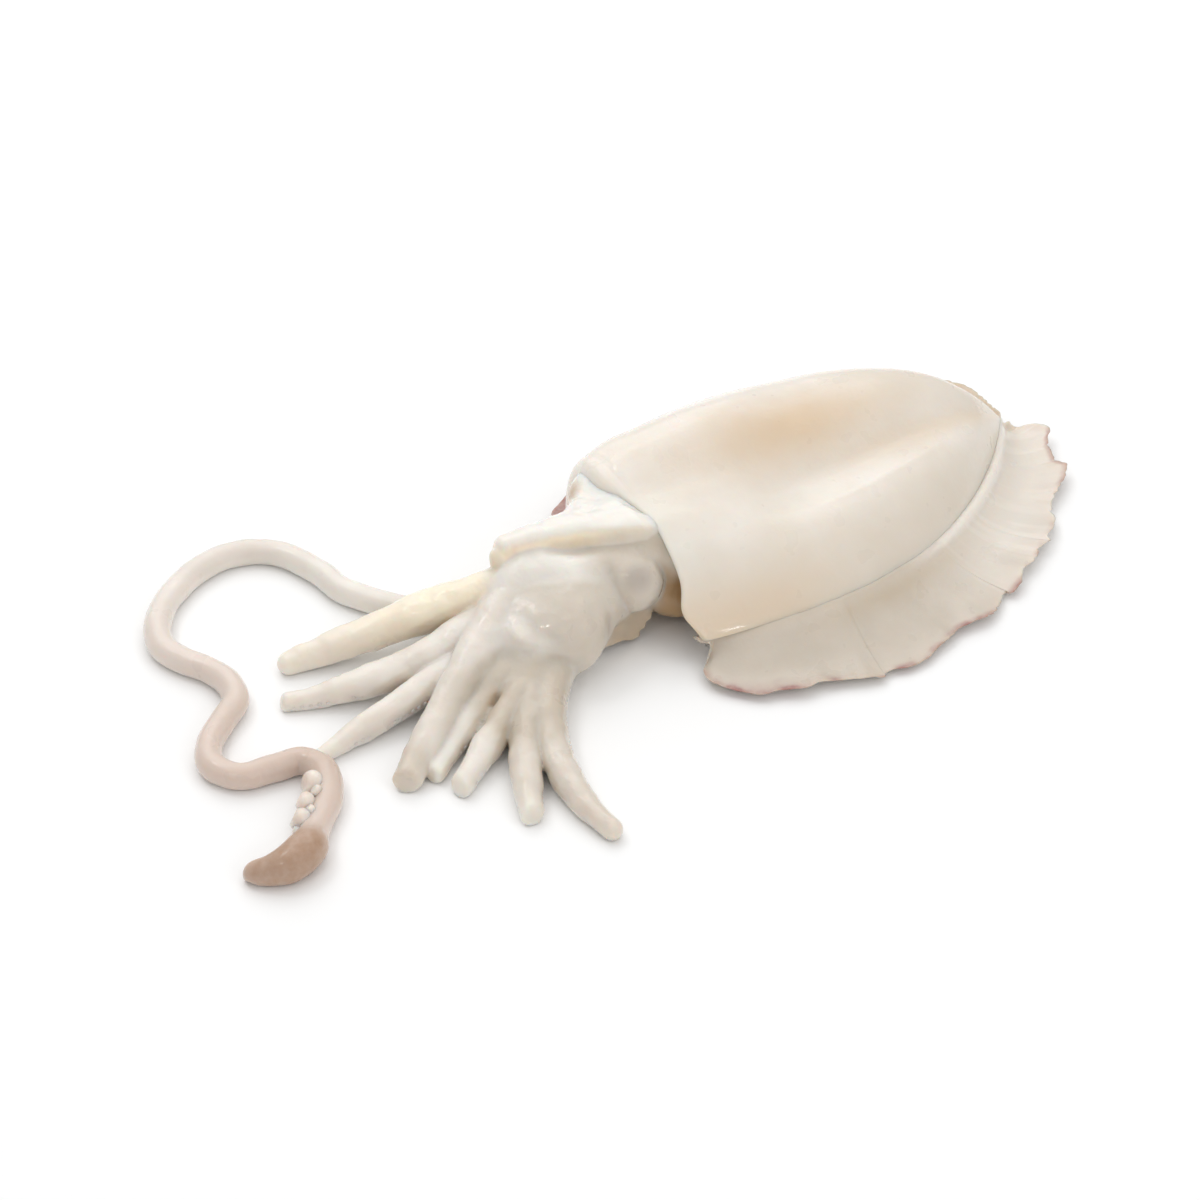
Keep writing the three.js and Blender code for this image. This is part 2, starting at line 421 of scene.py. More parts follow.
@dataclass(frozen=True)
class FleshFinish:
    """Wet, slightly see-through flesh: two close tones, tints by layer, a wet skin and fine relief."""

    name: str
    light: Colour
    dark: Colour
    tints: tuple[Tint, ...] = ()
    blotch: float = 22.0
    glow: float = 0.5
    glow_depth: float = 4.0
    glow_reach: Colour = (1.0, 0.62, 0.40)
    roughness: Band = (0.26, 0.44)
    bend_of_light: float = 1.38
    wet: float = 0.7
    wet_roughness: float = 0.08
    wet_bend_of_light: float = 1.33
    grain: float = 1.4
    relief: float = 0.10
    relief_strength: float = 0.6
    fold_grain: float = 4.0
    fold_relief: float = 2.5
    sheen_blotch: float = 0.4
    mottle: float = 3.2

    def material(self) -> bpy.types.Material:
        """The finish as a material.

        Returns:
            A material that reads Object coordinates and the mesh's layers.
        """
        made = bpy.data.materials.new(self.name)
        made.use_nodes = True
        made.node_tree.nodes.clear()
        bench = NodeBench(made.node_tree)
        place = bench.add("ShaderNodeTexCoord").outputs["Object"]
        blotches = self._noise(bench, place, self.blotch, 3.0)
        grains = self._noise(bench, place, self.grain, 2.0)
        colour = self._mix(bench, self._spread(bench, blotches, 0.0, 1.0), self.light, self.dark)
        for tint in self.tints:
            colour = self._tinted(bench, place, colour, tint)
        sheen = self._noise(bench, place, self.blotch * self.sheen_blotch, 2.0)
        roughness = self._spread(bench, sheen, *self.roughness)
        folds = self._noise(bench, place, self.grain * self.fold_grain, 2.0)
        coarse = self._bump(bench, folds, self.relief * self.fold_relief)
        shader = bench.add(
            "ShaderNodeBsdfPrincipled",
            {
                "Base Color": colour,
                "Roughness": roughness,
                "Normal": self._bump(bench, grains, self.relief, Normal=coarse),
                "IOR": self.bend_of_light,
                "Subsurface Weight": self.glow,
                "Subsurface Radius": self.glow_reach,
                "Subsurface Scale": self.glow_depth * MM,
                "Coat Weight": self.wet,
                "Coat Roughness": self.wet_roughness,
                "Coat IOR": self.wet_bend_of_light,
            },
        )
        bench.add("ShaderNodeOutputMaterial", {"Surface": shader.outputs["BSDF"]})
        return made

    def _bump(self, bench: NodeBench, height: Socket, depth: float, **under: Socket) -> Socket:
        """The normal of a skin raised by the height, up to depth millimetres, over any Normal under it."""
        inputs = {"Height": height, "Strength": self.relief_strength, "Distance": depth * MM, **under}
        return bench.add("ShaderNodeBump", inputs).outputs["Normal"]

    def _noise(self, bench: NodeBench, place: Socket, size: float, detail: float) -> Socket:
        """Noise whose blotches are size millimetres across."""
        inputs = {"Vector": place, "Scale": 1.0 / (size * MM), "Detail": detail}
        return bench.add("ShaderNodeTexNoise", inputs).outputs["Fac"]

    def _spread(self, bench: NodeBench, value: Socket, low: float, high: float) -> Socket:
        """Stretches noise from its usual middle range.

        Args:
            bench: The material's bench.
            value: The noise.
            low: What the low end becomes.
            high: What the high end becomes.

        Returns:
            The stretched noise.
        """
        middle = dict(zip(("From Min", "From Max"), NOISE_MIDDLE))
        inputs = {"Value": value, **middle, "To Min": low, "To Max": high}
        return bench.add("ShaderNodeMapRange", inputs).outputs["Result"]

    def _mix(self, bench: NodeBench, share: Socket, first: Socket | Colour, second: Colour) -> Socket:
        """Mixes two colours.

        Args:
            bench: The material's bench.
            share: How much of the second colour there is.
            first: The first colour, or a node's output.
            second: The second colour.

        Returns:
            The mixed colour.
        """
        start = first if isinstance(first, Socket) else (*first, 1.0)
        mixed = bench.add("ShaderNodeMix", {0: share, 6: start, 7: (*second, 1.0)}, data_type="RGBA")
        return mixed.outputs[2]

    def _tinted(self, bench: NodeBench, place: Socket, colour: Socket, tint: Tint) -> Socket:
        """Lays one tint over a colour, where the tint's layer says.

        Args:
            bench: The material's bench.
            place: Object coordinates.
            colour: The colour so far.
            tint: The tint.

        Returns:
            The tinted colour.
        """
        amount = bench.add("ShaderNodeAttribute", attribute_name=tint.layer.value).outputs["Fac"]
        low = tint.strength * (1.0 - tint.mottled)
        cover = self._spread(bench, self._noise(bench, place, self.mottle, 3.0), low, tint.strength)
        share = bench.add("ShaderNodeMath", {0: amount, 1: cover}, operation="MULTIPLY", use_clamp=True)
        return self._mix(bench, share.outputs[0], colour, tint.colour)


@dataclass(frozen=True)
class FloorFinish:
    """A plain pale matt surface."""

    name: str = "studio_floor"
    colour: Colour = (0.96, 0.96, 0.958)
    roughness: float = 0.7
    shine: float = 0.1

    def material(self) -> bpy.types.Material:
        """The finish as a material.

        Returns:
            A material of one colour.
        """
        made = bpy.data.materials.new(self.name)
        made.use_nodes = True
        shader = made.node_tree.nodes["Principled BSDF"]
        shader.inputs["Base Color"].default_value = (*self.colour, 1.0)
        shader.inputs["Roughness"].default_value = self.roughness
        shader.inputs["Specular IOR Level"].default_value = self.shine
        return made


IVORY = linear(239, 232, 223)
IVORY_SHADE = linear(231, 222, 209)
MANTLE_FINISH = FleshFinish(
    "mantle_flesh",
    IVORY,
    IVORY_SHADE,
    (
        # Painted shade down the near side and in the trough; darker towards the tail
        Tint(Layer.GREY, linear(212, 199, 181), 0.52),
        # Brown in the collar's pocket: dark membrane with painted shade
        Tint(Layer.BROWN, linear(150, 116, 78), 0.95),
        # Painted tan shade in the trough and by the near seam, and a tan furrow behind
        Tint(Layer.TAN, linear(216, 188, 152), 0.75),
    ),
)
FIN_FINISH = FleshFinish(
    "fin_skin",
    linear(207, 196, 182),
    linear(196, 185, 170),
    (
        # Painted shade in the valley and along the seam; the far fin's rear is darker
        Tint(Layer.TAN, linear(194, 175, 148), 0.58),
        # Pale rear, and a painted highlight along the ridge by the seam
        Tint(Layer.PALE, linear(242, 235, 226), 0.85),
        Tint(Layer.STAIN, linear(146, 84, 84), 0.95, 0.45),
    ),
    glow_depth=2.0,
)
CROWN_FINISH = FleshFinish(
    "arm_and_head_flesh",
    linear(236, 231, 223),
    linear(222, 214, 204),
    (
        # Tan on the head and near arms, partly painted shade under the lip
        Tint(Layer.TAN, linear(195, 183, 166), 0.85),
        Tint(Layer.YELLOW, linear(250, 238, 213), 0.8),
        # Painted light and highlights: funnel top, head's upper edge, web, a fold by the lip, arms e and f,
        # far corner
        Tint(Layer.PALE, linear(238, 235, 228), 0.9),
        Tint(Layer.GREY, linear(176, 167, 158), 0.8),
        # Olive flap under the eye: its own colour deepened with painted shade
        Tint(Layer.OLIVE, linear(190, 171, 146), 0.85),
        # Painted shade in the clefts
        Tint(Layer.CLEFT_SHADE, linear(196, 176, 150), 0.3),
        # Brown: neck in the gap with painted shade, painted shade in the pit and the crease, and a smudge
        Tint(Layer.BROWN, linear(180, 146, 104), 0.95),
    ),
    glow=0.7,
    glow_depth=6.0,
    relief=0.14,
)
TENTACLE_FINISH = FleshFinish(
    "tentacle_flesh",
    linear(236, 232, 225),
    linear(225, 218, 209),
    (
        Tint(Layer.BLUSH, linear(214, 194, 181), 0.85),
        Tint(Layer.BROWN, linear(167, 132, 104), 0.92, 0.25),
    ),
)
SUCKER_FINISH = FleshFinish(
    "sucker_flesh",
    linear(236, 225, 215),
    linear(224, 209, 197),
    blotch=4.0,
    grain=0.6,
)


# Pieces of the animal

@dataclass
class FleshPiece:
    """What every piece of the animal shares: how it joins the frame."""

    def place(self, name: str, mesh: bpy.types.Mesh, finish: FleshFinish) -> bpy.types.Object:
        """A finished piece, dressed and riding on the animal's body.

        Args:
            name: The piece's name.
            mesh: Its mesh, in the frame's place and units.
            finish: What it is dressed in.

        Returns:
            The piece.
        """
        piece = bpy.data.objects.new(name, mesh)
        bpy.context.scene.collection.objects.link(piece)
        if not mesh.materials:
            mesh.materials.append(finish.material())
        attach(piece, CAD_BODY)
        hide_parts(CAD_NODE)
        LOG.info("%s: %d vertices, %d faces", name, len(mesh.vertices), len(mesh.polygons))
        return piece


@dataclass
class Mantle(FleshPiece):
    """The cone of muscle, blunt at the open collar and narrow at the tail.

    A share along it runs from 0 at the collar to 1 at the tail, and a share across it from -1 at the near
    seam to 1 at the far seam. A field that ends in along or across is a range of such shares, or the middle
    and the spread of a hill in them.
    """

    # Place and size, in plan
    collar_x: float = 5.6
    midline_y: float = 2.0
    tail_drift: float = 3.0
    length: float = 146.0
    half_width: float = 43.6
    widest_at: float = 0.33
    collar_narrowing: float = 0.11
    tail_taper: float = 2.2
    tail_roundness: float = 0.95
    # Heights of the collar's arch and of the two rolls behind it
    seam_height: float = 10.0
    collar_rise: float = 27.5
    collar_swell: float = 6.0
    front_roll: float = 9.0
    rim_drop: float = 0.05
    far_roll_rise: float = 30.7
    near_roll_rise: float = 24.5
    rolls_across: Band = (-0.25, 0.6)
    sag_along: Band = (0.05, 0.38)
    near_slope_across: Band = (-1.0, -0.2)
    near_dome: Band = (2.2, 0.8)
    near_fullness: Band = (0.5, 0.8)
    far_squareness: Band = (6.5, 5.0)
    far_square_along: Band = (0.0, 0.15)
    rim_drop_across: Band = (-0.15, 0.35)
    swell_across: Band = (0.0, 0.5)
    swell_at_rim: float = 0.7
    swell_start_along: Band = (0.0, 0.08)
    swell_end_along: Band = (0.12, 0.55)
    # The trough between the rolls, and the fine crest along its near side
    trough_depth: float = 6.5
    trough_across: Band = (-0.24, 0.26)
    crest_height: float = 0.55
    crest_across: Band = (-0.485, 0.035)
    crest_start_along: Band = (0.34, 0.44)
    crest_end_along: Band = (0.66, 0.78)
    tail_rise_power: float = 7.0
    # The collar's edge: cut back below, reaching forward at the near seam
    collar_cutback: float = 16.0
    cutback_power: int = 6
    near_reach: float = 3.6
    near_reach_across: Band = (-0.84, 0.12)
    far_setback: float = -0.5
    far_across: Band = (0.0, 0.55)
    reach_power: int = 12
    base_squareness: int = 5
    base_end: Band = (0.0, 0.2)
    # The collar's rim and the pocket behind it, whose brown is dark membrane with painted shade
    rim_radius: float = 1.8
    far_rim_radius: float = 6.0
    wall_share: float = 0.09
    far_wall_share: float = 0.33
    pocket_depth: float = 24.0
    pocket_narrowing: float = 0.6
    pocket_brown: Band = (0.3, 1.0)
    # How far the closing points of the tail and the pocket stand out from their last rings
    tail_point: float = 0.4
    pocket_point: float = 0.3
    # Height and size of the skin's unevenness
    unevenness: tuple[Band, ...] = ((0.5, 23.0), (0.12, 8.0), (0.02, 2.4))
    # Painted tan shade on the trough's far wall and by the near seam in front, and a tan furrow behind
    warm_shade_across: Band = (0.2, 0.26)
    warm_shade_along: Band = (0.42, 0.24)
    warm_shade_height: Band = (20.0, 26.0)
    foot_shade_across: Band = (0.6, 0.95)
    foot_shade_along: Band = (0.15, 0.4)
    furrow_across: Band = (-0.12, 0.17)
    furrow_slant: Band = (0.45, 0.45)
    furrow_along: Band = (0.38, 0.6)
    # Painted shade down the near side and along the trough, and darker towards the tail
    near_shade_across: Band = (0.36, 0.92)
    dull_tail_along: Band = (0.6, 0.95)
    dull_tail_across: Band = (-0.45, -0.15)
    trough_shade_across: Band = (0.0, 0.35)
    # The first row's share from the tail, and how the rows bunch up towards it
    first_row: float = 0.012
    row_bunching: float = 1.5
    rows: int = 210
    rim_rows: int = 22
    pocket_rows: int = 22
    sides: int = 300
    seed: int = 11

    def half_breadth(self, t: Array) -> Array:
        """Half the width along the mantle.

        Args:
            t: Share of the way from collar to tail.

        Returns:
            The half width in millimetres.
        """
        ahead = 1.0 - self.collar_narrowing * np.maximum(0.0, 1.0 - t / self.widest_at) ** 2
        behind = np.clip((t - self.widest_at) / (1.0 - self.widest_at), 0.0, 1.0)
        return self.half_width * ahead * (1.0 - behind**self.tail_taper) ** self.tail_roundness

    def rise(self, t: Array, s: Array) -> Array:
        """Height of the upper side above the seam.

        The collar is a plain arch. Behind it the near half sags and the far half stands up as a roll.

        Args:
            t: Share of the way from collar to tail.
            s: Share of the way across, -1 at the near seam and 1 at the far seam.

        Returns:
            The height in millimetres.
        """
        sag = smoothstep(t, *self.sag_along)
        near = np.clip(-s, 0.0, 1.0)
        far = np.clip(s, 0.0, 1.0)
        power, roundness = self.near_dome
        dome = (1.0 - near**power) ** roundness
        near_arch = lerp(smoothstep(-near, *self.near_slope_across), dome, lerp(*self.near_fullness, sag))
        far_arch = (1.0 - far ** lerp(*self.far_squareness, smoothstep(t, *self.far_square_along))) ** 0.5
        behind_rim = np.clip(t * self.length / self.front_roll, 0.0, 1.0)
        drop = self.rim_drop * (1.0 - np.sqrt(1.0 - (1.0 - behind_rim) ** 2))
        rolled = 1.0 - drop * smoothstep(s, *self.rim_drop_across)
        rolls = lerp(self.near_roll_rise, self.far_roll_rise, smoothstep(s, *self.rolls_across))
        narrowed = self.half_breadth(t) / self.half_width
        trough = self.trough_depth * sag * narrowed * hill(s, *self.trough_across)
        tail = 1.0 - np.clip(t, 0.0, 1.0) ** self.tail_rise_power
        swell = self.collar_swell * smoothstep(s, *self.swell_across)
        swell = swell * lerp(self.swell_at_rim, 1.0, smoothstep(t, *self.swell_start_along))
        swell = swell * fade(t, *self.swell_end_along)
        crest = self.crest_height * hill(s, *self.crest_across)
        crest = crest * smoothstep(t, *self.crest_start_along) * fade(t, *self.crest_end_along)
        height = lerp(self.collar_rise, rolls, sag) + swell - trough + crest
        return near_arch * far_arch * rolled * tail * height

    def midline(self, t: Array) -> Array:
        """Where the middle of the section lies across the body, drifting towards the tail."""
        return self.midline_y + self.tail_drift * np.clip(t, 0.0, 1.0) ** 4

    def surface(self, t: Array, inset: Array, ahead: Array, narrow: Array, angle: Array) -> Array:
        """Places on the mantle.

        Args:
            t: Share of the way from collar to tail.
            inset: Share of the wall's thickness passed on the way in, 0 on the outer side.
            ahead: Distance in front of the collar's plane, as a share of the rim's radius.
            narrow: How much the pocket has narrowed, from 1 at its mouth.
            angle: Angle round the section, 0 at the far seam.

        Returns:
            Places in millimetres.
        """
        s = np.cos(angle)
        upward = np.sin(angle)
        far = smoothstep(s, *self.far_across)
        reach = (1.0 - lerp(self.wall_share, self.far_wall_share, far) * inset) * narrow
        ahead = lerp(self.rim_radius, self.far_rim_radius, far) * ahead
        below = (self.seam_height + SINK) * (1.0 - np.abs(s) ** self.base_squareness)
        below = below * smoothstep(1.0 - t, *self.base_end)
        height = np.where(upward > 0, self.rise(t, s), -below)
        cutback = self.collar_cutback * reach * np.maximum(0.0, -upward) * (1.0 - t) ** self.cutback_power
        forward = self.near_reach * hill(s, *self.near_reach_across)
        cutback = cutback + (self.far_setback * far - forward) * (1.0 - t) ** self.reach_power
        x = self.collar_x + t * self.length + cutback - ahead
        y = self.midline(t) + reach * s * self.half_breadth(t)
        z = self.seam_height + reach * height
        return np.stack(np.broadcast_arrays(x, y, z), axis=-1)

    def build(self) -> bpy.types.Object:
        """Makes the mantle with its rounded rim and the pocket that the neck goes into.

        Returns:
            The piece.
        """
        grid = self._grid()
        rows = len(grid)
        count = rows * self.sides
        points = np.vstack([grid.reshape(-1, 3), grid[0].mean(axis=0), grid[-1].mean(axis=0)])
        points[-2:, 0] += (self.tail_point, self.pocket_point)
        faces = tube_faces(rows, self.sides)
        faces += fan_faces(np.arange(self.sides)[::-1], count)
        faces += fan_faces(np.arange(count - self.sides, count), count + 1)
        faces = outward(points, faces)
        inside = np.zeros(rows)
        inside[self.rows + self.rim_rows:] = np.linspace(*self.pocket_brown, self.pocket_rows)
        inside = np.append(np.repeat(inside, self.sides), (0.0, 1.0))
        swell = SoftNoise(self.seed).layered(points, self.unevenness) * (1.0 - inside)
        points = points + vertex_normals(points, faces) * swell[:, None]
        points[:, 2] = np.maximum(points[:, 2], 0.0)
        mesh = flesh_mesh("mantle", points, faces, self._layers(points, inside))
        return self.place("mantle", mesh, MANTLE_FINISH)

    def _grid(self) -> Array:
        """Rings of vertices from the tail to the collar, round its rim and into the pocket.

        Returns:
            One ring in each row.
        """
        outer = 1.0 - np.linspace(self.first_row, 1.0, self.rows) ** self.row_bunching
        turn = np.linspace(0.0, math.pi, self.rim_rows + 2)[1:-1]
        deep = np.linspace(0.0, 0.5 * math.pi, self.pocket_rows + 1)[:-1]
        t = np.concatenate([outer, np.zeros(self.rim_rows), self.pocket_depth / self.length * np.sin(deep)])
        inset = np.concatenate([np.zeros(self.rows), 0.5 * (1.0 - np.cos(turn)), np.ones(self.pocket_rows)])
        ahead = np.concatenate([np.zeros(self.rows), np.sin(turn), np.zeros(self.pocket_rows)])
        narrow = np.concatenate([np.ones(self.rows + self.rim_rows), np.cos(deep) ** self.pocket_narrowing])
        angle = np.linspace(0.0, 2.0 * math.pi, self.sides, endpoint=False)
        return self.surface(*(row[:, None] for row in (t, inset, ahead, narrow)), angle[None, :])

    def _layers(self, points: Array, inside: Array) -> dict[Layer, Array]:
        """Where the mantle is brown in the pocket, and where shade is painted on it.

        Args:
            points: The vertices.
            inside: How deep in the pocket each one lies, from 0 to 1.

        Returns:
            The layers.
        """
        share = (points[:, 0] - self.collar_x) / self.length
        across = (points[:, 1] - self.midline(share)) / np.maximum(self.half_breadth(share), 1.0)
        # Painted tan shade on the trough's far wall, and painted shade by the near seam in front
        warm_shade = hill(across, *self.warm_shade_across) * hill(share, *self.warm_shade_along)
        warm_shade = warm_shade * smoothstep(points[:, 2], *self.warm_shade_height)
        foot_shade = smoothstep(-across, *self.foot_shade_across) * fade(share, *self.foot_shade_along)
        slant, start = self.furrow_slant
        furrow = hill(across + slant * (share - start), *self.furrow_across)
        furrow = furrow * smoothstep(share, *self.furrow_along)
        # Painted shade down the near side and along the trough; darker towards the tail
        tail = smoothstep(share, *self.dull_tail_along)
        tail = tail * lerp(0.5, 1.0, smoothstep(across, *self.dull_tail_across))
        trough = hill(across, *self.trough_shade_across)
        near = smoothstep(-across, *self.near_shade_across)
        return {
            # Brown in the pocket: dark membrane with painted shade
            Layer.BROWN: inside,
            Layer.TAN: highest(warm_shade, 0.6 * foot_shade, 0.45 * furrow) * (1.0 - inside),
            Layer.GREY: highest(near, tail, 0.45 * trough) * (1.0 - inside),
        }


# Outlines of the fins from the collar round to the tail: along the body, and out from the midline
NEAR_FIN_OUTLINE = (
    (3.0, 33.0), (2.5, 37.0), (4.5, 40.0), (0.0, 43.5), (-0.5, 50.5), (8.0, 61.5), (14.0, 63.5), (22.0, 67.5),
    (28.5, 68.0), (44.5, 75.0), (48.0, 73.5), (60.0, 75.5), (80.0, 70.0), (92.5, 70.5), (102.5, 63.5),
    (106.0, 64.5), (127.0, 52.5), (130.0, 52.0), (132.0, 49.0), (139.5, 44.5), (143.5, 39.0), (154.0, 30.0),
    (160.0, 24.0), (158.5, 19.5), (163.5, 9.5), (167.0, 6.0), (166.5, 2.5), (158.0, -3.5), (152.5, -4.5),
)
FAR_FIN_OUTLINE = (
    (6.5, 36.0), (3.5, 41.0), (1.5, 46.0), (3.0, 49.0), (12.5, 54.5), (20.0, 58.0), (38.0, 66.0),
    (63.0, 70.5), (90.0, 68.5), (117.0, 59.0), (135.0, 48.0), (148.0, 37.0), (155.0, 30.0), (157.0, 23.5),
    (156.0, 10.5), (154.5, 5.0), (151.5, 2.0),
)


@dataclass
class Fin(FleshPiece):
    """A thin skirt along one seam, spread on the surface, with a ragged stained edge."""

    side: Side
    mantle: Mantle
    outline: tuple[Band, ...]
    tuck: float = 6.0
    bury: float = 2.0
    seam_rise: float = 0.6
    front_step: float = 0.4
    edge_height: float = 2.6
    root_thickness: float = 6.0
    edge_thickness: float = 1.3
    rear_lift: float = 0.0
    # Shares of the run round the edge: where the rear half begins, and where its lift comes in
    rear_along: Band = (0.42, 0.7)
    lift_along: Band = (0.7, 0.85)
    # Shares of the run left at the tail's end, over which the lift and the ridge die away
    lift_end: Band = (0.01, 0.06)
    ridge_end: Band = (0.02, 0.1)
    # Shares of the mantle's length that the root runs between, and its least distance from the midline
    root_along: Band = (0.004, 0.985)
    root_least: float = 0.3
    # The ridge beside the seam in the rear half: its height, and its middle and spread past the seam
    ridge_height: float = 1.3
    ridge_past: Band = (1.6, 0.9)
    end_rounding: float = 0.012
    end_least: float = 0.06
    edge_squareness: int = 14
    columns: int = 900
    rows: int = 40
    row_spread: float = 0.85
    tooth_depth: float = 1.9
    # Sizes of tooth: shortest and longest gap between knots, and share of the depth
    tooth_sizes: tuple[Place, ...] = ((9.0, 21.0, 1.0), (2.8, 6.5, 0.85), (0.8, 2.0, 0.4))
    tooth_share: Band = (0.35, 1.25)
    tooth_power: float = 1.5
    tip_bite: float = 0.15
    tooth_along: Band = (0.36, 0.58)
    # Heights and lengths of the waves and pleats of the edge
    waves: tuple[Band, ...] = ((1.2, 17.0), (0.5, 7.0))
    wave_lift: float = 0.55
    wave_share: Band = (0.8, 1.3)
    pleat_length: float = 3.1
    pleat_share: Band = (0.2, 0.3)
    sweep_power: Band = (2.1, 3.4)
    # Distances over which the root dives under the skin, a short spoke stays high and the tail's end sinks
    bury_run: Band = (0.0, 3.0)
    short_spoke: Band = (0.0, 10.0)
    tail_sink: Band = (0.0, 7.0)
    # The stain: on the edge, at the front of the edge, and over the far fin's front corner
    stain_patches: tuple[Band, ...] = ((0.5, 9.0), (0.35, 3.5))
    margin_out: Band = (0.915, 0.985)
    margin_patches: Band = (0.3, 0.8)
    front_out: Band = (0.78, 1.0)
    front_start_along: Band = (0.02, 0.08)
    front_end_along: Band = (0.15, 0.25)
    corner_along: Band = (0.10, 0.17)
    corner_out: Band = (0.15, 0.5)
    far_rear_along: Band = (0.4, 0.6)
    # Painted shade in the valley and a painted shadow line along the seam: middle and spread past the seam
    valley_shade_past: Band = (4.8, 4.2)
    valley_shade_start_along: Band = (0.12, 0.4)
    valley_shade_rear_along: Band = (0.45, 0.65)
    seam_shadow_past: Band = (0.5, 2.5)
    # The pale rear, paler along fine streaks: share of the run, share of the spoke, streaks round and out
    pale_along: Band = (0.4, 0.7)
    pale_out: Band = (0.6, 0.95)
    streaks: Band = (230.0, 3.0)
    streak_size: float = 2.4
    blend_past: Band = (0.5, 6.0)
    seed: int = 21

    def edge(self) -> Array:
        """The smooth outer edge in plan, before its teeth."""
        line = smooth_line(self.outline, self.columns)
        return np.stack([line[:, 0], self.mantle.midline_y + self.side.value * line[:, 1]], axis=-1)

    def root(self) -> Array:
        """The line inside the mantle that the fin grows from.

        Returns:
            Places in plan, one for each spoke.
        """
        t = np.linspace(*self.root_along, 400)
        breadth = np.maximum(self.mantle.half_breadth(t) - self.tuck, self.root_least)
        along = self.mantle.collar_x + t * self.mantle.length
        across = self.mantle.midline(t) + self.side.value * breadth
        return smooth_line(np.stack([along, across], axis=-1), self.columns)

    def teeth(self, run: Array) -> Array:
        """How far the edge is bitten back along its run.

        Args:
            run: Distance along the edge in millimetres.

        Returns:
            Depth in millimetres, 0 at the tips.
        """
        rng = np.random.default_rng(self.seed)
        total = np.zeros_like(run)
        for shortest, longest, depth in self.tooth_sizes:
            knots = np.cumsum(rng.uniform(shortest, longest, int(run[-1] / shortest) + 4))
            bites = rng.uniform(0.0, 1.0, len(knots)) ** self.tooth_power
            bites[::2] *= self.tip_bite
            total += depth * np.interp(run, knots, bites)
        ragged = lerp(*self.tooth_share, smoothstep(run / run[-1], *self.tooth_along))
        return self.tooth_depth * ragged * total

    def build(self) -> bpy.types.Object:
        """Makes the fin as a closed sheet, thick at the root and thin at the edge.

        Returns:
            The piece.
        """
        t = np.linspace(0.0, 1.0, self.columns)
        edge = self.edge()
        root = self.root()
        run = run_along(edge)
        spoke = edge - root
        length = np.linalg.norm(spoke, axis=1)
        bite = self.teeth(run)
        out = np.linspace(0.0, 1.0, self.rows) ** self.row_spread
        shares = ((length - bite) / length)[:, None] * out[None, :]
        plan = root[:, None, :] + spoke[:, None, :] * shares[..., None]
        past_seam = shares * length[:, None] - self.tuck
        rear = smoothstep(t, *self.rear_along)
        ridge = hill(past_seam, *self.ridge_past) * (rear * smoothstep(1.0 - t, *self.ridge_end))[:, None]
        lift = self.rear_lift * out[None, :] ** 2
        lift = lift * (smoothstep(t, *self.lift_along) * smoothstep(1.0 - t, *self.lift_end))[:, None]
        top = self._top(run, rear, past_seam, length, out) + (self.ridge_height * ridge + lift)
        thick = lerp(self.root_thickness, self.edge_thickness, np.sqrt(out))
        thick = thick * np.sqrt(np.maximum(0.0, 1.0 - out**self.edge_squareness))
        ends = np.sqrt(np.clip(np.minimum(t, 1.0 - t) / self.end_rounding, self.end_least, 1.0))
        base = top - thick[None, :] * ends[:, None]
        upper = np.concatenate([plan, top[..., None]], axis=-1)
        lower = np.concatenate([plan, base[..., None]], axis=-1)
        ring = np.concatenate([upper, lower[:, ::-1][:, 1:]], axis=1)
        ring[..., 2] = np.maximum(ring[..., 2], 0.0)
        width = ring.shape[1]
        points = ring.reshape(-1, 3)
        faces = tube_faces(self.columns, width)
        faces += self._cap(0, width, False) + self._cap((self.columns - 1) * width, width, True)
        faces = outward(points, faces)
        grids = (np.broadcast_to(out, past_seam.shape), past_seam, ridge)
        both_sides = (np.concatenate([grid, grid[:, ::-1][:, 1:]], axis=1) for grid in grids)
        outer, past_seam, ridge = (grid.ravel() for grid in both_sides)
        share, bite = np.repeat(t, width), np.repeat(bite, width)
        layers = self._layers(points, share, outer, bite, past_seam, ridge)
        name = f"{self.side.name.lower()}_fin"
        return self.place(name, flesh_mesh(name, points, faces, layers), FIN_FINISH)

    def _top(self, run: Array, rear: Array, past_seam: Array, length: Array, out: Array) -> Array:
        """Height of the upper side: under the mantle's skin, then sweeping out to a waved and pleated edge.

        Args:
            run: Distance along the edge of each spoke.
            rear: 0 at the spokes in front and 1 at those behind.
            past_seam: Distance beyond the seam, for every spoke and row.
            length: Length of each spoke.
            out: Share of the spoke at each row.

        Returns:
            The height for every spoke and row.
        """
        noise = SoftNoise(self.seed + 1)
        line = np.stack([run, np.zeros_like(run), np.full_like(run, 5.0 * self.side.value)], axis=-1)
        waves = noise.layered(line, self.waves)
        pleats = noise.at(line, self.pleat_length)
        seam_top = self.mantle.seam_height + lerp(self.front_step, self.seam_rise, rear)[:, None]
        inside = seam_top - self.bury * smoothstep(-past_seam, *self.bury_run)
        beyond = np.clip(past_seam / np.maximum(length - self.tuck, 1.0)[:, None], 0.0, 1.0)
        sweep = (1.0 - beyond) ** lerp(*self.sweep_power, rear)[:, None]
        low = lerp(seam_top, self.edge_height, smoothstep(length - self.tuck, *self.short_spoke)[:, None])
        top = np.where(past_seam < 0.0, inside, lerp(low, seam_top, sweep))
        top = top + out[None, :] ** 3 * ((waves + self.wave_lift) * lerp(*self.wave_share, rear))[:, None]
        top = top + (out**2 * (1.0 - 0.4 * out))[None, :] * (pleats * lerp(*self.pleat_share, rear))[:, None]
        sunk = smoothstep(run[-1] - run, *self.tail_sink)[:, None]
        return lerp(self.edge_height, top, sunk)

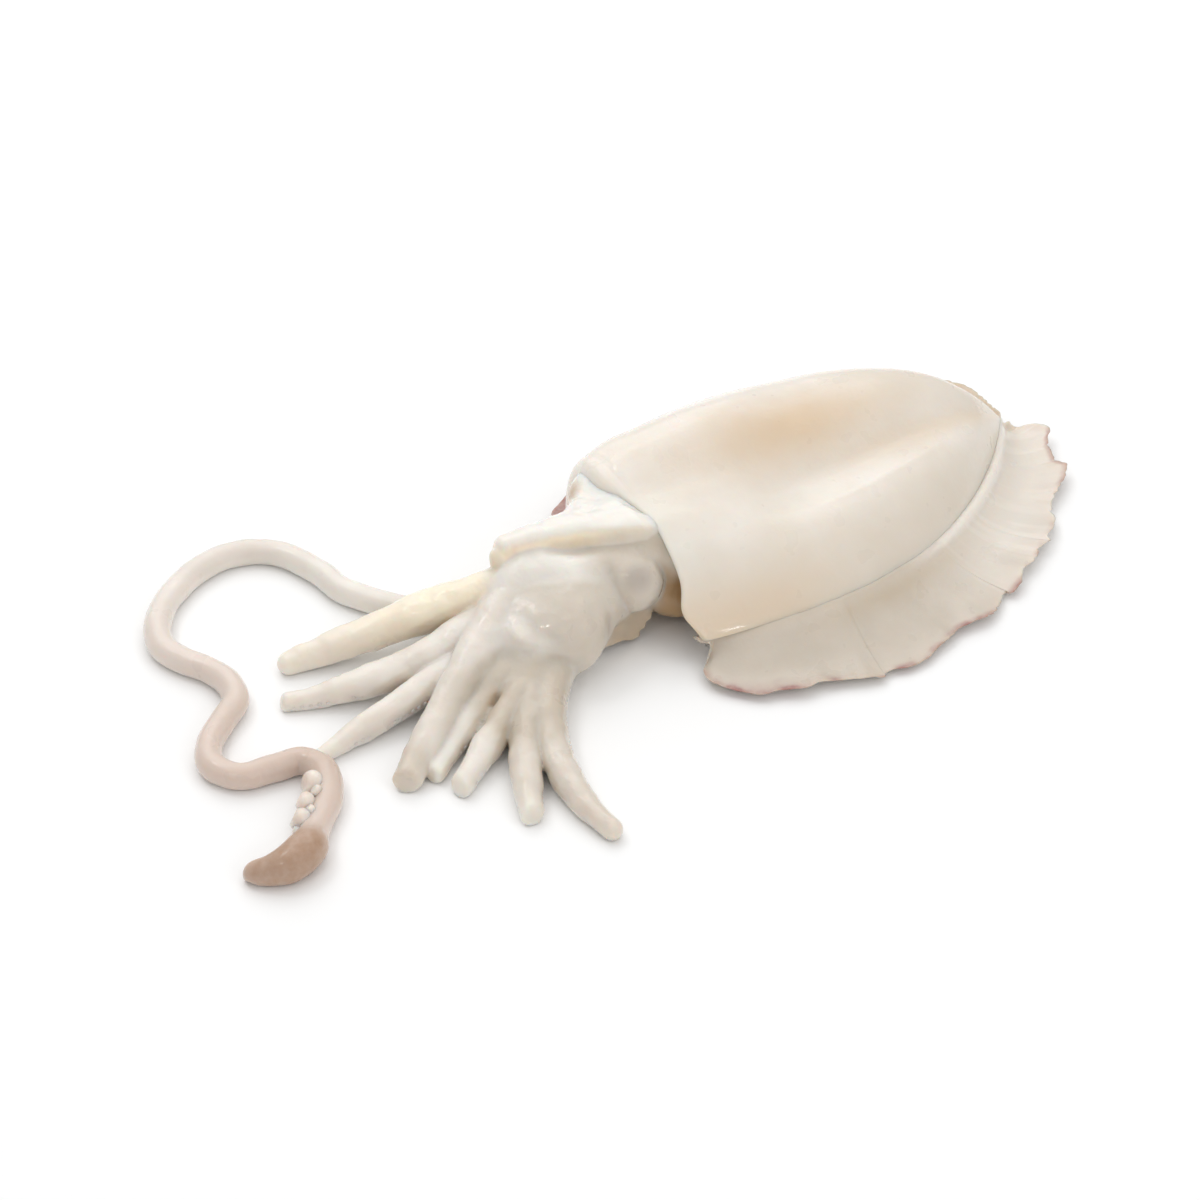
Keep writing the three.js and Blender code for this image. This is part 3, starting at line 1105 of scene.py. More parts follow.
    def _cap(self, start: int, width: int, turned: bool) -> Faces:
        """Closes one end of the sheet, joining its top to its base.

        Args:
            start: The first vertex of the end's ring.
            width: How many vertices the ring has.
            turned: Whether the faces run the other way round.

        Returns:
            The faces.
        """
        faces = []
        for row in range(self.rows - 2):
            a, b = start + row, start + row + 1
            c, d = start + width - 2 - row, start + width - 1 - row
            faces.append([a, b, c, d] if turned else [d, c, b, a])
        tip = start + self.rows - 1
        faces.append([tip - 1, tip, tip + 1] if turned else [tip + 1, tip, tip - 1])
        return faces

    def _layers(
        self, points: Array, share: Array, outer: Array, bite: Array, past_seam: Array, crest: Array
    ) -> dict[Layer, Array]:
        """Where the fin is stained, pale and tan, with painted shade by the seam and a painted ridge
        highlight.

        Args:
            points: The vertices.
            share: Share of the run round the edge, from collar to tail, at each.
            outer: Share of the way from root to edge.
            bite: Depth of the edge's teeth.
            past_seam: Distance past the mantle's seam.
            crest: How high each stands on the ridge beside the seam, from 0 to 1.

        Returns:
            The layers.
        """
        patches = 0.5 + SoftNoise(self.seed + 2).layered(points, self.stain_patches)
        at_tip = 1.0 - np.clip(bite / self.tooth_depth, 0.0, 1.0)
        rear = smoothstep(share, *self.pale_along)
        margin = smoothstep(outer, *self.margin_out) * smoothstep(patches, *self.margin_patches)
        front = smoothstep(outer, *self.front_out) * smoothstep(share, *self.front_start_along)
        front = front * fade(share, *self.front_end_along)
        stain = np.clip(margin * lerp(0.3, 1.0, at_tip) + 0.95 * front * patches, 0.0, 1.0)
        behind = np.zeros_like(share)
        if self.side is Side.FAR:
            behind = smoothstep(share, *self.far_rear_along)
            corner = fade(share, *self.corner_along) * smoothstep(outer, *self.corner_out)
            stain = np.maximum(stain, corner) * (1.0 - behind)
        # Painted shade in the valley beside the seam, and a painted shadow line along the seam in front
        valley_shade = hill(past_seam, *self.valley_shade_past) * smoothstep(share, *self.valley_shade_start_along)
        valley_shade = valley_shade * lerp(0.8, 1.0, smoothstep(share, *self.valley_shade_rear_along))
        seam = 0.8 * hill(past_seam, *self.seam_shadow_past) * (1.0 - rear)
        grain = np.stack([share * self.streaks[0], outer * self.streaks[1], np.zeros_like(share)], axis=-1)
        streaks = smoothstep(SoftNoise(self.seed + 3).at(grain, self.streak_size), 0.0, 0.5)
        pale = lerp(1.0, 0.78, smoothstep(outer, *self.pale_out)) * rear * lerp(0.86, 1.0, streaks)
        pale = 0.82 * pale * (1.0 - stain) * (1.0 - 0.9 * behind)
        blend = 0.2 * fade(past_seam, *self.blend_past) * (1.0 - rear)
        # The ridge by the seam carries a painted highlight in the pale layer
        return {
            Layer.STAIN: stain,
            Layer.TAN: highest(valley_shade * (1.0 - crest), 0.8 * behind, seam),
            Layer.PALE: np.clip(pale + crest * (1.0 - 0.7 * behind) + blend, 0.0, 1.0),
        }


@dataclass(frozen=True)
class Lump:
    """A rounded lump: half sizes along, across and up, the fillet round it, and its turn in degrees."""

    centre: Place
    radii: Place
    softness: float = 3.0
    turn: float = 0.0


@dataclass
class FleshField:
    """A block of space on an even grid, holding at each point the distance to the flesh."""

    low: Place
    high: Place
    voxel: float
    margin: float = 9.0
    # How a strand's cut end leans, and how round its edge is
    cut_lean: float = 0.25
    cut_softness: float = 1.8
    axes: list[Array] = field(init=False)
    values: Array = field(init=False)

    def __post_init__(self) -> None:
        """Lays out the grid with no flesh in it."""
        self.axes = [np.arange(a, b, self.voxel) for a, b in zip(self.low, self.high)]
        self.values = np.full([len(a) for a in self.axes], self.margin, np.float32)

    def window(self, low: Array, high: Array) -> tuple[tuple[slice, ...], list[Array]]:
        """The part of the grid round a box, with room to blend.

        Args:
            low: The box's lowest corner.
            high: Its highest corner.

        Returns:
            The slices of the grid, and the coordinates along each axis, ready to combine.
        """
        slices = []
        for axis, a, b in zip(self.axes, low, high):
            first, last = np.searchsorted(axis, (a - self.margin, b + self.margin))
            slices.append(slice(int(first), int(last)))
        x, y, z = (axis[s].astype(np.float32) for axis, s in zip(self.axes, slices))
        return tuple(slices), [x[:, None, None], y[None, :, None], z[None, None, :]]

    def join(self, slices: tuple[slice, ...], distance: Array, softness: Number) -> None:
        """Adds flesh, running smoothly into what is already there.

        Args:
            slices: The part of the grid that the distance covers.
            distance: Distance to the new flesh.
            softness: Size of the fillet between old and new, in millimetres.
        """
        self.values[slices] = -soft_max(-self.values[slices], -distance, softness)

    def lump(self, lump: Lump, cut: bool = False) -> None:
        """Joins a lump, or cuts it away.

        Args:
            lump: The lump.
            cut: Whether it is a pit.
        """
        reach = np.full(3, max(lump.radii))
        slices, coordinates = self.window(np.array(lump.centre) - reach, np.array(lump.centre) + reach)
        x, y, z = (axis - middle for axis, middle in zip(coordinates, lump.centre))
        c, s = math.cos(math.radians(lump.turn)), math.sin(math.radians(lump.turn))
        aside = (c * x + s * y, c * y - s * x, z)
        first = np.sqrt(sum((step / radius) ** 2 for step, radius in zip(aside, lump.radii)))
        second = np.sqrt(sum((step / radius**2) ** 2 for step, radius in zip(aside, lump.radii)))
        distance = first * (first - 1.0) / np.maximum(second, 1e-4)
        if cut:
            self.values[slices] = soft_max(self.values[slices], -distance, lump.softness)
        else:
            self.join(slices, distance, lump.softness)

    def strand(
        self,
        path: Array,
        radii: Array,
        softness: Callable[[list[Array]], Array] | float,
        end_cut: float = 0.0,
        cut_turn: float = 0.0,
    ) -> None:
        """Joins a round strand along a path.

        Args:
            path: Points along its middle.
            radii: Its radius at each point.
            softness: Size of the fillet, or a function that gives it from the coordinates.
            end_cut: How far the tip is cut off, as a share of its radius.
            cut_turn: Turn of the cut away from square, in degrees.
        """
        slices, coordinates = self.window(path.min(axis=0) - radii.max(), path.max(axis=0) + radii.max())
        shape = self.values[slices].shape
        distance = np.full(shape, self.margin, np.float32)
        for a, b, ra, rb in zip(path[:-1], path[1:], radii[:-1], radii[1:]):
            low, high = np.minimum(a, b) - max(ra, rb), np.maximum(a, b) + max(ra, rb)
            inner, (x, y, z) = self.window(low, high)
            inner = tuple(slice(i.start - s.start, i.stop - s.start) for i, s in zip(inner, slices))
            inner = tuple(slice(max(0, i.start), i.stop) for i in inner)
            x, y, z = (c.ravel()[-n:] for c, n in zip((x, y, z), distance[inner].shape))
            x, y, z = x[:, None, None] - a[0], y[None, :, None] - a[1], z[None, None, :] - a[2]
            along = b - a
            share = np.clip((x * along[0] + y * along[1] + z * along[2]) / (along @ along), 0.0, 1.0)
            gap = np.sqrt(sum((axis - share * step) ** 2 for axis, step in zip((x, y, z), along)))
            distance[inner] = np.minimum(distance[inner], gap - lerp(ra, rb, share))
        if end_cut > 0.0:
            x, y, z = coordinates
            run = path[-1] - path[-2]
            angle = math.atan2(run[1], run[0]) + math.radians(cut_turn)
            past = (x - path[-1][0]) * math.cos(angle) + (y - path[-1][1]) * math.sin(angle)
            past = past + self.cut_lean * (z - path[-1][2]) - (1.0 - end_cut) * radii[-1]
            distance = soft_max(distance, past, self.cut_softness)
        self.join(slices, distance, softness(coordinates) if callable(softness) else softness)

    def openness(self, points: Array, normals: Array, reach: float) -> Array:
        """How open the space above the skin is.

        Args:
            points: Places on the skin.
            normals: The skin's unit normals there.
            reach: How far above the skin to look, in millimetres.

        Returns:
            One value for each place: 1 on open skin, towards 0 in a cleft.
        """
        spots = (points + normals * reach - np.array([a[0] for a in self.axes])) / self.voxel
        spots = np.clip(spots, 0.0, np.array(self.values.shape) - 1.001)
        base = spots.astype(int)
        share = spots - base
        gap = np.zeros(len(points))
        for corner, weight in cube_corners(share):
            gap += weight * self.values[tuple((base + corner).T)]
        return np.clip(gap / reach, 0.0, 1.0)

    def rest_on_floor(self) -> None:
        """Trims the flesh flat where it meets the surface."""
        self.values = np.maximum(self.values, -self.axes[2].astype(np.float32)[None, None, :])

    def skin(self) -> tuple[Array, Faces]:
        """The flesh's surface.

        Returns:
            Vertices in millimetres, and four-sided faces.
        """
        grid = openvdb.FloatGrid(self.margin)
        grid.copyFromArray(self.values)
        points, quads = grid.convertToQuads(0.0)
        points = points.astype(float) * self.voxel + np.array([a[0] for a in self.axes])
        return points, quads.tolist()


@dataclass(frozen=True)
class Arm:
    """One arm: where it leaves the crown, how it lies and how thick it is."""

    name: str
    root: Place
    heading: float
    turn: float
    length: float
    root_radius: float
    middle_radius: float
    tip_radius: float
    end_cut: float = 0.0
    cut_turn: float = 0.0
    bend_power: float = 1.0
    drop: float = 1.7
    fullest_at: float = 0.55
    taper_from: float = 0.3
    taper_power: float = 1.5
    unevenness: float = 0.06
    lump_size: float = 8.0
    # Keeps each arm's noise apart from the next one's
    noise_step: float = 29.0
    seed: int = 61

    def path(self, count: int = 42) -> tuple[Array, Array]:
        """The arm's middle line and its radius along it.

        It leaves the crown high up, falls to the surface and lies along it to the tip.

        Args:
            count: How many points to return.

        Returns:
            The points, and the radius at each.
        """
        u = np.linspace(0.0, 1.0, count)
        early = lerp(self.root_radius, self.middle_radius, smoothstep(u, 0.0, self.fullest_at))
        taper = np.clip((u - self.taper_from) / (1.0 - self.taper_from), 0.0, 1.0) ** self.taper_power
        radii = lerp(early, self.tip_radius, taper)
        row = np.full(count, self.noise_step * ord(self.name))
        line = np.stack([u * self.length, row, np.zeros(count)], axis=-1)
        radii = radii * (1.0 + self.unevenness * SoftNoise(self.seed).at(line, self.lump_size))
        heading = np.radians(self.heading + self.turn * (u[:-1] + 0.5 * u[1]) ** self.bend_power)
        step = self.length / (count - 1)
        x = self.root[0] + np.concatenate([[0.0], np.cumsum(step * np.cos(heading))])
        y = self.root[1] + np.concatenate([[0.0], np.cumsum(step * np.sin(heading))])
        lying = radii - SINK
        z = np.maximum(lerp(lying, self.root[2], (1.0 - u) ** self.drop), lying)
        return np.stack([x, y, z], axis=-1), radii


@dataclass(frozen=True)
class Patch:
    """A round patch of colour, full within its inner radius and gone at its outer one."""

    place: Place
    inner: float
    outer: float
    stretch: Place = (1.0, 1.0, 1.0)

    def at(self, points: Array) -> Array:
        """How much of the patch lies at each point."""
        away = (points - np.array(self.place)) / self.stretch
        return fade(np.linalg.norm(away, axis=1), self.inner, self.outer)


@dataclass(frozen=True)
class Region:
    """A region with soft edges, each given by where it starts and where it is full."""

    along: Band | None = None
    across: Band | None = None
    up: Band | None = None

    def at(self, points: Array) -> Array:
        """How far inside the region each point lies.

        Args:
            points: Places in millimetres, one in each row.

        Returns:
            One value for each place, from 0 to 1.
        """
        share = np.ones(len(points))
        for axis, edge in enumerate((self.along, self.across, self.up)):
            if edge is not None:
                share = share * smoothstep(points[:, axis], *edge)
        return share


@dataclass
class Crown(FleshPiece):
    """The head with its eyes, the funnel on top of it and the arms in front, all one run of flesh."""

    arms: tuple[Arm, ...] = (
        Arm("a", (-35.7, 4.9, 24.6), 151, 18.1, 74.3, 6.1, 6.6, 3.7),
        Arm("b", (-35.3, 3.3, 17.4), 188.9, -35.2, 80.8, 8.0, 6.1, 3.1, 0.4),
        Arm("c", (-50.2, -3.4, 11.5), 187.2, -1.8, 71.3, 5.2, 5.5, 2.3),
        Arm("d", (-31.4, 7.2, 25.2), 205.3, 12.3, 81.8, 7.5, 6.6, 4.2, 0.75, 18),
        Arm("e", (-43.7, -9.4, 12), 205.1, 8, 55, 4.5, 4.8, 3.0, 0.4, -12),
        Arm("f", (-40.5, -16.8, 11), 208.2, 5.5, 55.8, 4.6, 5.5, 3.6, 0.6, -16),
        Arm("g", (-31.3, -9.4, 9.4), 215.0, 33.2, 74.6, 4.9, 6.3, 3.9, 0.7, 8),
        Arm("h", (-26.4, -11.3, 8.0), 201.2, 78.2, 86.6, 6.8, 6.2, 3.1, bend_power=0.8),
    )
    block_low: Place = (-124.0, -104.0, -1.5)
    block_high: Place = (24.0, 50.0, 52.0)
    voxel: float = 0.58
    # The web between the arms: its middle in plan, how far it reaches, and the fillet there and beyond
    web_middle: Band = (-40.0, -5.0)
    web_reach: Band = (6.0, 27.0)
    web_softness: Band = (3.4, 0.8)
    # The neck inside the collar, the head and the roots of the arms
    head_lumps: tuple[Lump, ...] = (
        Lump((8.0, 2.0, 14.5), (22.0, 20.5, 12.0)),
        Lump((4.8, 19.0, 25.5), (7.5, 18.0, 12.5)),
        Lump((1.2, 21.6, 29.6), (8.4, 8.8, 6.2)),
        Lump((8.8, -6.0, 24.5), (8.5, 13.5, 10.0)),
        Lump((8.0, -10.0, 11.5), (8.5, 10.8, 9.0)),
        Lump((1.5, -5.0, 24.5), (6.5, 9.0, 8.5)),
        Lump((-15.0, 0.0, 16.5), (16.5, 18.0, 12.5), 5.0, 8.0),
        Lump((-33.0, -6.0, 16.5), (17.0, 20.0, 12.0), 7.0, 14.0),
        Lump((-32.8, -18.2, 11.5), (8.5, 8.0, 8.0), 5.0),
    )
    midline_y: float = Mantle.midline_y
    eye_place: Place = (-6.6, -11.5, 20.8)
    eye_radius: float = 9.4
    eye_softness: float = 1.0
    # The lip of the web over the near arms, and the flesh under it
    lip: tuple[Place, ...] = (
        (-42.0, -5.0, 18.5), (-47.5, -10.0, 20.0), (-48.5, -14.5, 19.5), (-46.0, -17.8, 18.0),
        (-42.5, -20.0, 16.5), (-37.0, -21.8, 15.0), (-29.0, -22.0, 13.0), (-22.0, -17.0, 12.0),
    )
    lip_radius: float = 2.2
    lip_softness: float = 3.6
    web_lumps: tuple[Lump, ...] = (
        Lump((-47.0, -18.0, 10.5), (9.0, 7.0, 6.5)),
        Lump((-47.5, -10.0, 14.5), (7.5, 7.0, 6.0), 4.0),
        Lump((-56.5, -15.5, 9.3), (8.5, 7.5, 5.0), 3.5),
    )
    # The head's upper edge along the funnel's foot, and the flesh behind it
    shoulder: tuple[Place, ...] = (
        (-40.0, 5.9, 25.2), (-32.0, 2.1, 27.1), (-26.0, -1.1, 27.2), (-18.5, -3.4, 26.3), (-9.7, -5.9, 26.6),
        (-1.0, -8.0, 26.3),
    )
    shoulder_radius: float = 4.2
    shoulder_softness: float = 4.0
    shoulder_lump: Lump = Lump((-29.0, 3.2, 22.4), (9.0, 6.0, 6.5), 5.0)
    # Lower edge of the flap under the near eye: along the body, and height
    flap: tuple[Band, ...] = ((-21.4, 3.5), (-12.8, 2.9), (-8.1, 0.6), (-3.4, 7.4))
    # Where the flap's ribs start and end across the body, the height they start at, and their radii
    flap_across: Band = (-13.8, -15.5)
    flap_top: float = 14.0
    flap_radii: Band = (2.0, 1.1)
    flap_softness: float = 1.6
    flap_ribs: int = 10
    # The crease between the near eye and the flap under it, darkened with painted shade
    crease_shade: tuple[Place, ...] = (
        (-22.0, -16.2, 12.0), (-13.8, -15.0, 12.5), (-9.0, -15.0, 12.8), (-3.4, -14.4, 13.0),
    )
    # The pit where the clefts between the near arms meet
    pit: Lump = Lump((-64.1, -24.8, 10.0), (2.0, 0.5, 2.4), 1.2, 32.0)
    # Sections of the funnel from its tip into the collar: along, across, height, half width, half height
    funnel: tuple[tuple[float, ...], ...] = (
        (-38.0, 11.6, 31.0, 3.9, 5.8), (-25.0, 9.8, 31.4, 5.6, 6.0), (-16.0, 8.6, 31.3, 8.0, 6.0),
        (-8.0, 8.6, 31.3, 13.2, 5.7), (0.0, 8.0, 31.7, 17.0, 4.9), (5.0, 5.8, 30.6, 14.6, 3.8),
        (9.0, 7.0, 28.0, 12.0, 4.0), (16.0, 8.0, 22.0, 10.0, 5.0),
    )
    funnel_tilt: float = 0.22
    funnel_squareness: float = 3.0
    funnel_ends: Band = (3.6, 2.0)
    funnel_room: Place = (5.0, 20.0, 8.0)
    funnel_softness: float = 3.2
    funnel_tip: Lump = Lump((-41.8, 10.4, 30.0), (2.4, 3.0, 4.4), 1.0)
    # Height and size of the skin's unevenness
    unevenness: tuple[Band, ...] = ((0.5, 9.0), (0.34, 4.2), (0.09, 2.0))
    # Patches and regions of colour, painted highlights and shade among them
    # A painted highlight on the web's top
    web_highlight: Patch = Patch((-46.5, -10.5, 20.5), 2.0, 7.0, (1.0, 1.0, 1.6))
    # Painted shade in the pit
    pit_shade: Patch = Patch(pit.centre, 1.6, 4.2)
    smudge: Patch = Patch((-6.0, 24.5, 31.0), 2.0, 6.0)
    # A painted highlight on a fold by the lip
    facet_highlight: Patch = Patch((-35.5, -14.0, 17.5), 3.0, 9.0)
    lens: Patch = Patch((-7.5, -16.2, 26.0), 1.56, 6.5)
    tip: Patch = Patch((-100.0, -33.0, 0.0), 5.0, 12.0, (1.0, 1.0, math.inf))
    # Tan under the lip, partly painted shade under its overhang
    under_lip: Patch = Patch((-57.0, -30.0, 0.0), 12.5, 31.25, (1.0, 1.0, math.inf))
    under_lip_height: Region = Region(up=(19.5, 15.0))
    # The olive flap under the eye, its colour deepened with painted shade
    flap_region: Region = Region((-22.0, -16.0), (-4.0, -10.0), (15.0, 10.0))
    neck_region: Region = Region((-4.0, 3.0))
    neck_far: Region = Region(across=(5.0, 15.0))
    neck_top: Region = Region(up=(18.0, 28.0))
    # The far corner by the collar, kept clear of tan, with painted light on its top
    far_corner: Region = Region((-9.0, -3.0), (8.0, 16.0))
    far_corner_top: Region = Region(up=(24.0, 29.0))
    behind_tip: Region = Region((-47.0, -43.0))
    at_tip: Region = Region((-40.5, -42.5))
    funnel_rear: Region = Region((-18.0, -2.0))
    lit_region: Region = Region((-13.0, -24.0))
    far_arm_end: Region = Region((-60.0, -104.0))
    short_ends: Region = Region((-68.0, -78.0))
    head_region: Region = Region((-52.0, -34.0))
    near_arms: Region = Region((-82.0, -72.0), (-25.0, -38.0))
    # Distances over which a colour ends: past the funnel, an arm, the eye, the crease and the lit edge
    funnel_edge: Band = (0.2, 1.2)
    far_arm_edge: Band = (0.4, 2.2)
    short_arm_edge: Band = (0.4, 1.8)
    eye_edge: Band = (0.4, 1.6)
    crease_edge: Band = (0.8, 3.2)
    lit_edge: Band = (4.0, 10.0)
    # Above the funnel's middle: where its yellow wall ends, in half heights, and where the neck's brown does
    wall_top: Band = (0.35, 0.85)
    neck_under: Band = (-3.0, 1.0)
    # Painted shade in clefts: how far above the skin a cleft is looked for, and how shut in it has to be
    cleft_reach: float = 4.0
    cleft_depth: Band = (0.12, 0.75)
    resting_height: Band = (0.0, 1.2)
    seed: int = 31

    def build(self) -> bpy.types.Object:
        """Makes the whole crown as one skin.

        Returns:
            The piece.
        """
        block = FleshField(self.block_low, self.block_high, self.voxel)
        self._head(block)
        for arm in self.arms:
            block.strand(*arm.path(), self._web, arm.end_cut, arm.cut_turn)
        self._folds(block)
        self._funnel(block)
        block.rest_on_floor()
        points, faces = block.skin()
        faces = outward(points, faces)
        normals = vertex_normals(points, faces)
        layers = self._layers(points)
        # Painted shade in the clefts, where the space above the skin is shut in
        shut_in = 1.0 - block.openness(points, normals, self.cleft_reach)
        layers[Layer.CLEFT_SHADE] = smoothstep(shut_in, *self.cleft_depth)
        swell = SoftNoise(self.seed).layered(points, self.unevenness)
        swell = swell * smoothstep(points[:, 2], *self.resting_height)
        points = points + normals * swell[:, None]
        points[:, 2] = np.maximum(points[:, 2], 0.0)
        mesh = flesh_mesh("head_and_arms", points, faces, layers)
        return self.place("head_and_arms", mesh, CROWN_FINISH)

    def _web(self, coordinates: list[Array]) -> Array:
        """Softness of the join between arms: a web near the crown, a sharp cleft further out."""
        away = np.hypot(coordinates[0] - self.web_middle[0], coordinates[1] - self.web_middle[1])
        return lerp(*self.web_softness, smoothstep(away, *self.web_reach)).astype(np.float32)

    def _head(self, block: FleshField) -> None:
        """Joins the head, its neck and both eyes.

        Args:
            block: The field that they are joined to.
        """
        for lump in self.head_lumps:
            block.lump(lump)
        x, near_y, z = self.eye_place
        for y in (near_y, 2.0 * self.midline_y - near_y):
            block.lump(Lump((x, y, z), (self.eye_radius,) * 3, self.eye_softness))

    def _folds(self, block: FleshField) -> None:
        """Joins the web's lip, the head's upper edge and the thin flap under the near eye, and cuts the pit.

        Args:
            block: The field that they are joined to.
        """
        lip = smooth_line(self.lip, 40)
        block.strand(lip, np.full(len(lip), self.lip_radius), self.lip_softness)
        for lump in self.web_lumps:
            block.lump(lump)
        shoulder = smooth_line(self.shoulder, 30)
        block.strand(shoulder, np.full(len(shoulder), self.shoulder_radius), self.shoulder_softness)
        block.lump(self.shoulder_lump)
        start, end = self.flap_across
        for along in np.linspace(self.flap[0][0], self.flap[-1][0], self.flap_ribs):
            low = np.interp(along, *np.array(self.flap).T) + self.flap_radii[1]
            rib = np.array(((along, start, self.flap_top), (along, end, low)))
            block.strand(rib, np.array(self.flap_radii), self.flap_softness)
        block.lump(self.pit, cut=True)

    def _in_funnel(self, x: Array, y: Array, z: Array) -> tuple[Array, Array, Array, Array]:
        """Finds where places lie in the funnel's section.

        Args:
            x: Along the body.
            y: Across the body.
            z: Height.

        Returns:
            How far each lies aside of the funnel's middle and above it, and its half width and height there.
        """
        stations = np.array(self.funnel)
        middle, level, half, high = (np.interp(x, stations[:, 0], stations[:, k]) for k in range(1, 5))
        return y - middle, z - level + self.funnel_tilt * (y - middle), half, high

    def _funnel(self, block: FleshField) -> None:
        """Joins the funnel, a flat-topped tube with a firm edge on each side, widening into the collar.

        Args:
            block: The field that it is joined to.
        """
        stations = np.array(self.funnel)
        places, reach = stations[:, :3], np.array(self.funnel_room)
        slices, (x, y, z) = block.window(places.min(axis=0) - reach, places.max(axis=0) + reach)
        aside, above, half, high = self._in_funnel(x, y, z)
        ahead, behind = np.maximum(stations[0, 0] - x, 0.0), np.maximum(x - stations[-1, 0], 0.0)
        past = ahead / self.funnel_ends[0] + behind / self.funnel_ends[1]
        power = self.funnel_squareness
        size = np.abs(aside / half) ** power + np.abs(above / high) ** power + past**power
        distance = (size ** (1.0 / power) - 1.0) * np.minimum(half, high)
        block.join(slices, distance.astype(np.float32), self.funnel_softness)
        block.lump(self.funnel_tip)

    def _layers(self, points: Array) -> dict[Layer, Array]:
        """Where the crown is yellow, white, grey, olive, brown and tan, with painted light and shade among
        them.

        Args:
            points: The vertices.

        Returns:
            The layers.
        """
        aside, above, half, high = self._in_funnel(*points.T)
        funnel = fade(np.maximum(np.abs(aside) - half, np.abs(above) - high), *self.funnel_edge)
        funnel = funnel * self.behind_tip.at(points)
        wall = funnel * fade(above / high, *self.wall_top) * lerp(1.0, 0.55, self.funnel_rear.at(points))
        path, radii = self.arms[0].path()
        far_arm = fade(gap_to_line(points, path[4::3], radii[4::3]), *self.far_arm_edge)
        far_arm = far_arm * lerp(0.9, 0.25, self.far_arm_end.at(points))
        paths, radii = (np.concatenate(parts)[::3] for parts in zip(*(arm.path() for arm in self.arms[4:6])))
        # Painted light on the shaded sides of arms e and f
        short_arm_light = fade(gap_to_line(points, paths, radii), *self.short_arm_edge) * self.short_ends.at(points)
        eye = np.linalg.norm(points - np.array(self.eye_place), axis=1) - self.eye_radius
        # Brown neck in the gap under the collar: dark membrane with painted shade
        neck = self.neck_region.at(points) * smoothstep(eye, *self.eye_edge) * fade(above, *self.neck_under)
        neck = neck * lerp(1.0, 0.25, self.neck_far.at(points)) * lerp(1.0, 0.2, self.neck_top.at(points))
        # Painted shade along the crease under the near eye
        crease_shade = fade(gap_to_line(points, smooth_line(self.crease_shade, 24)), *self.crease_edge)
        # Painted light along the head's upper edge, which the funnel shades
        lit = fade(gap_to_line(points, smooth_line(self.shoulder, 24)), *self.lit_edge)
        lit = lit * self.lit_region.at(points) * (1.0 - funnel)
        # Painted highlight by the lip, and painted light on the far corner's top
        facet_highlight = self.facet_highlight.at(points)
        far_corner = self.far_corner.at(points)
        far_corner_light = far_corner * self.far_corner_top.at(points)
        # White layer: painted light and painted highlights
        pale = highest(0.3 * self.web_highlight.at(points), 0.8 * lit, 0.7 * facet_highlight, 0.3 * short_arm_light, 0.7 * far_corner_light)
        # Tan under the lip is partly painted shade under its overhang
        under_lip = self.under_lip.at(points) * self.under_lip_height.at(points)
        tan = np.maximum(0.75 * self.head_region.at(points), under_lip)
        tan = highest(tan, 0.65 * self.tip.at(points), 0.45 * self.near_arms.at(points))
        tan = tan * (1.0 - 0.8 * highest(lit, facet_highlight, short_arm_light)) * (1.0 - funnel) * (1.0 - far_corner)
        # Painted shade in the pit and along the crease, and a brown smudge
        shades_and_smudge = (0.22 * self.pit_shade.at(points), 0.4 * crease_shade, 0.5 * self.smudge.at(points))
        return {
            Layer.YELLOW: np.maximum(wall, far_arm),
            # The funnel's paler top is a painted highlight
            Layer.PALE: np.maximum(funnel * (1.0 - wall), pale),
            Layer.GREY: np.maximum(self.lens.at(points), 0.3 * funnel * self.at_tip.at(points)),
            # Olive flap: its own colour deepened with painted shade
            Layer.OLIVE: self.flap_region.at(points),
            Layer.BROWN: highest(neck, *shades_and_smudge),
            Layer.TAN: tan,
        }


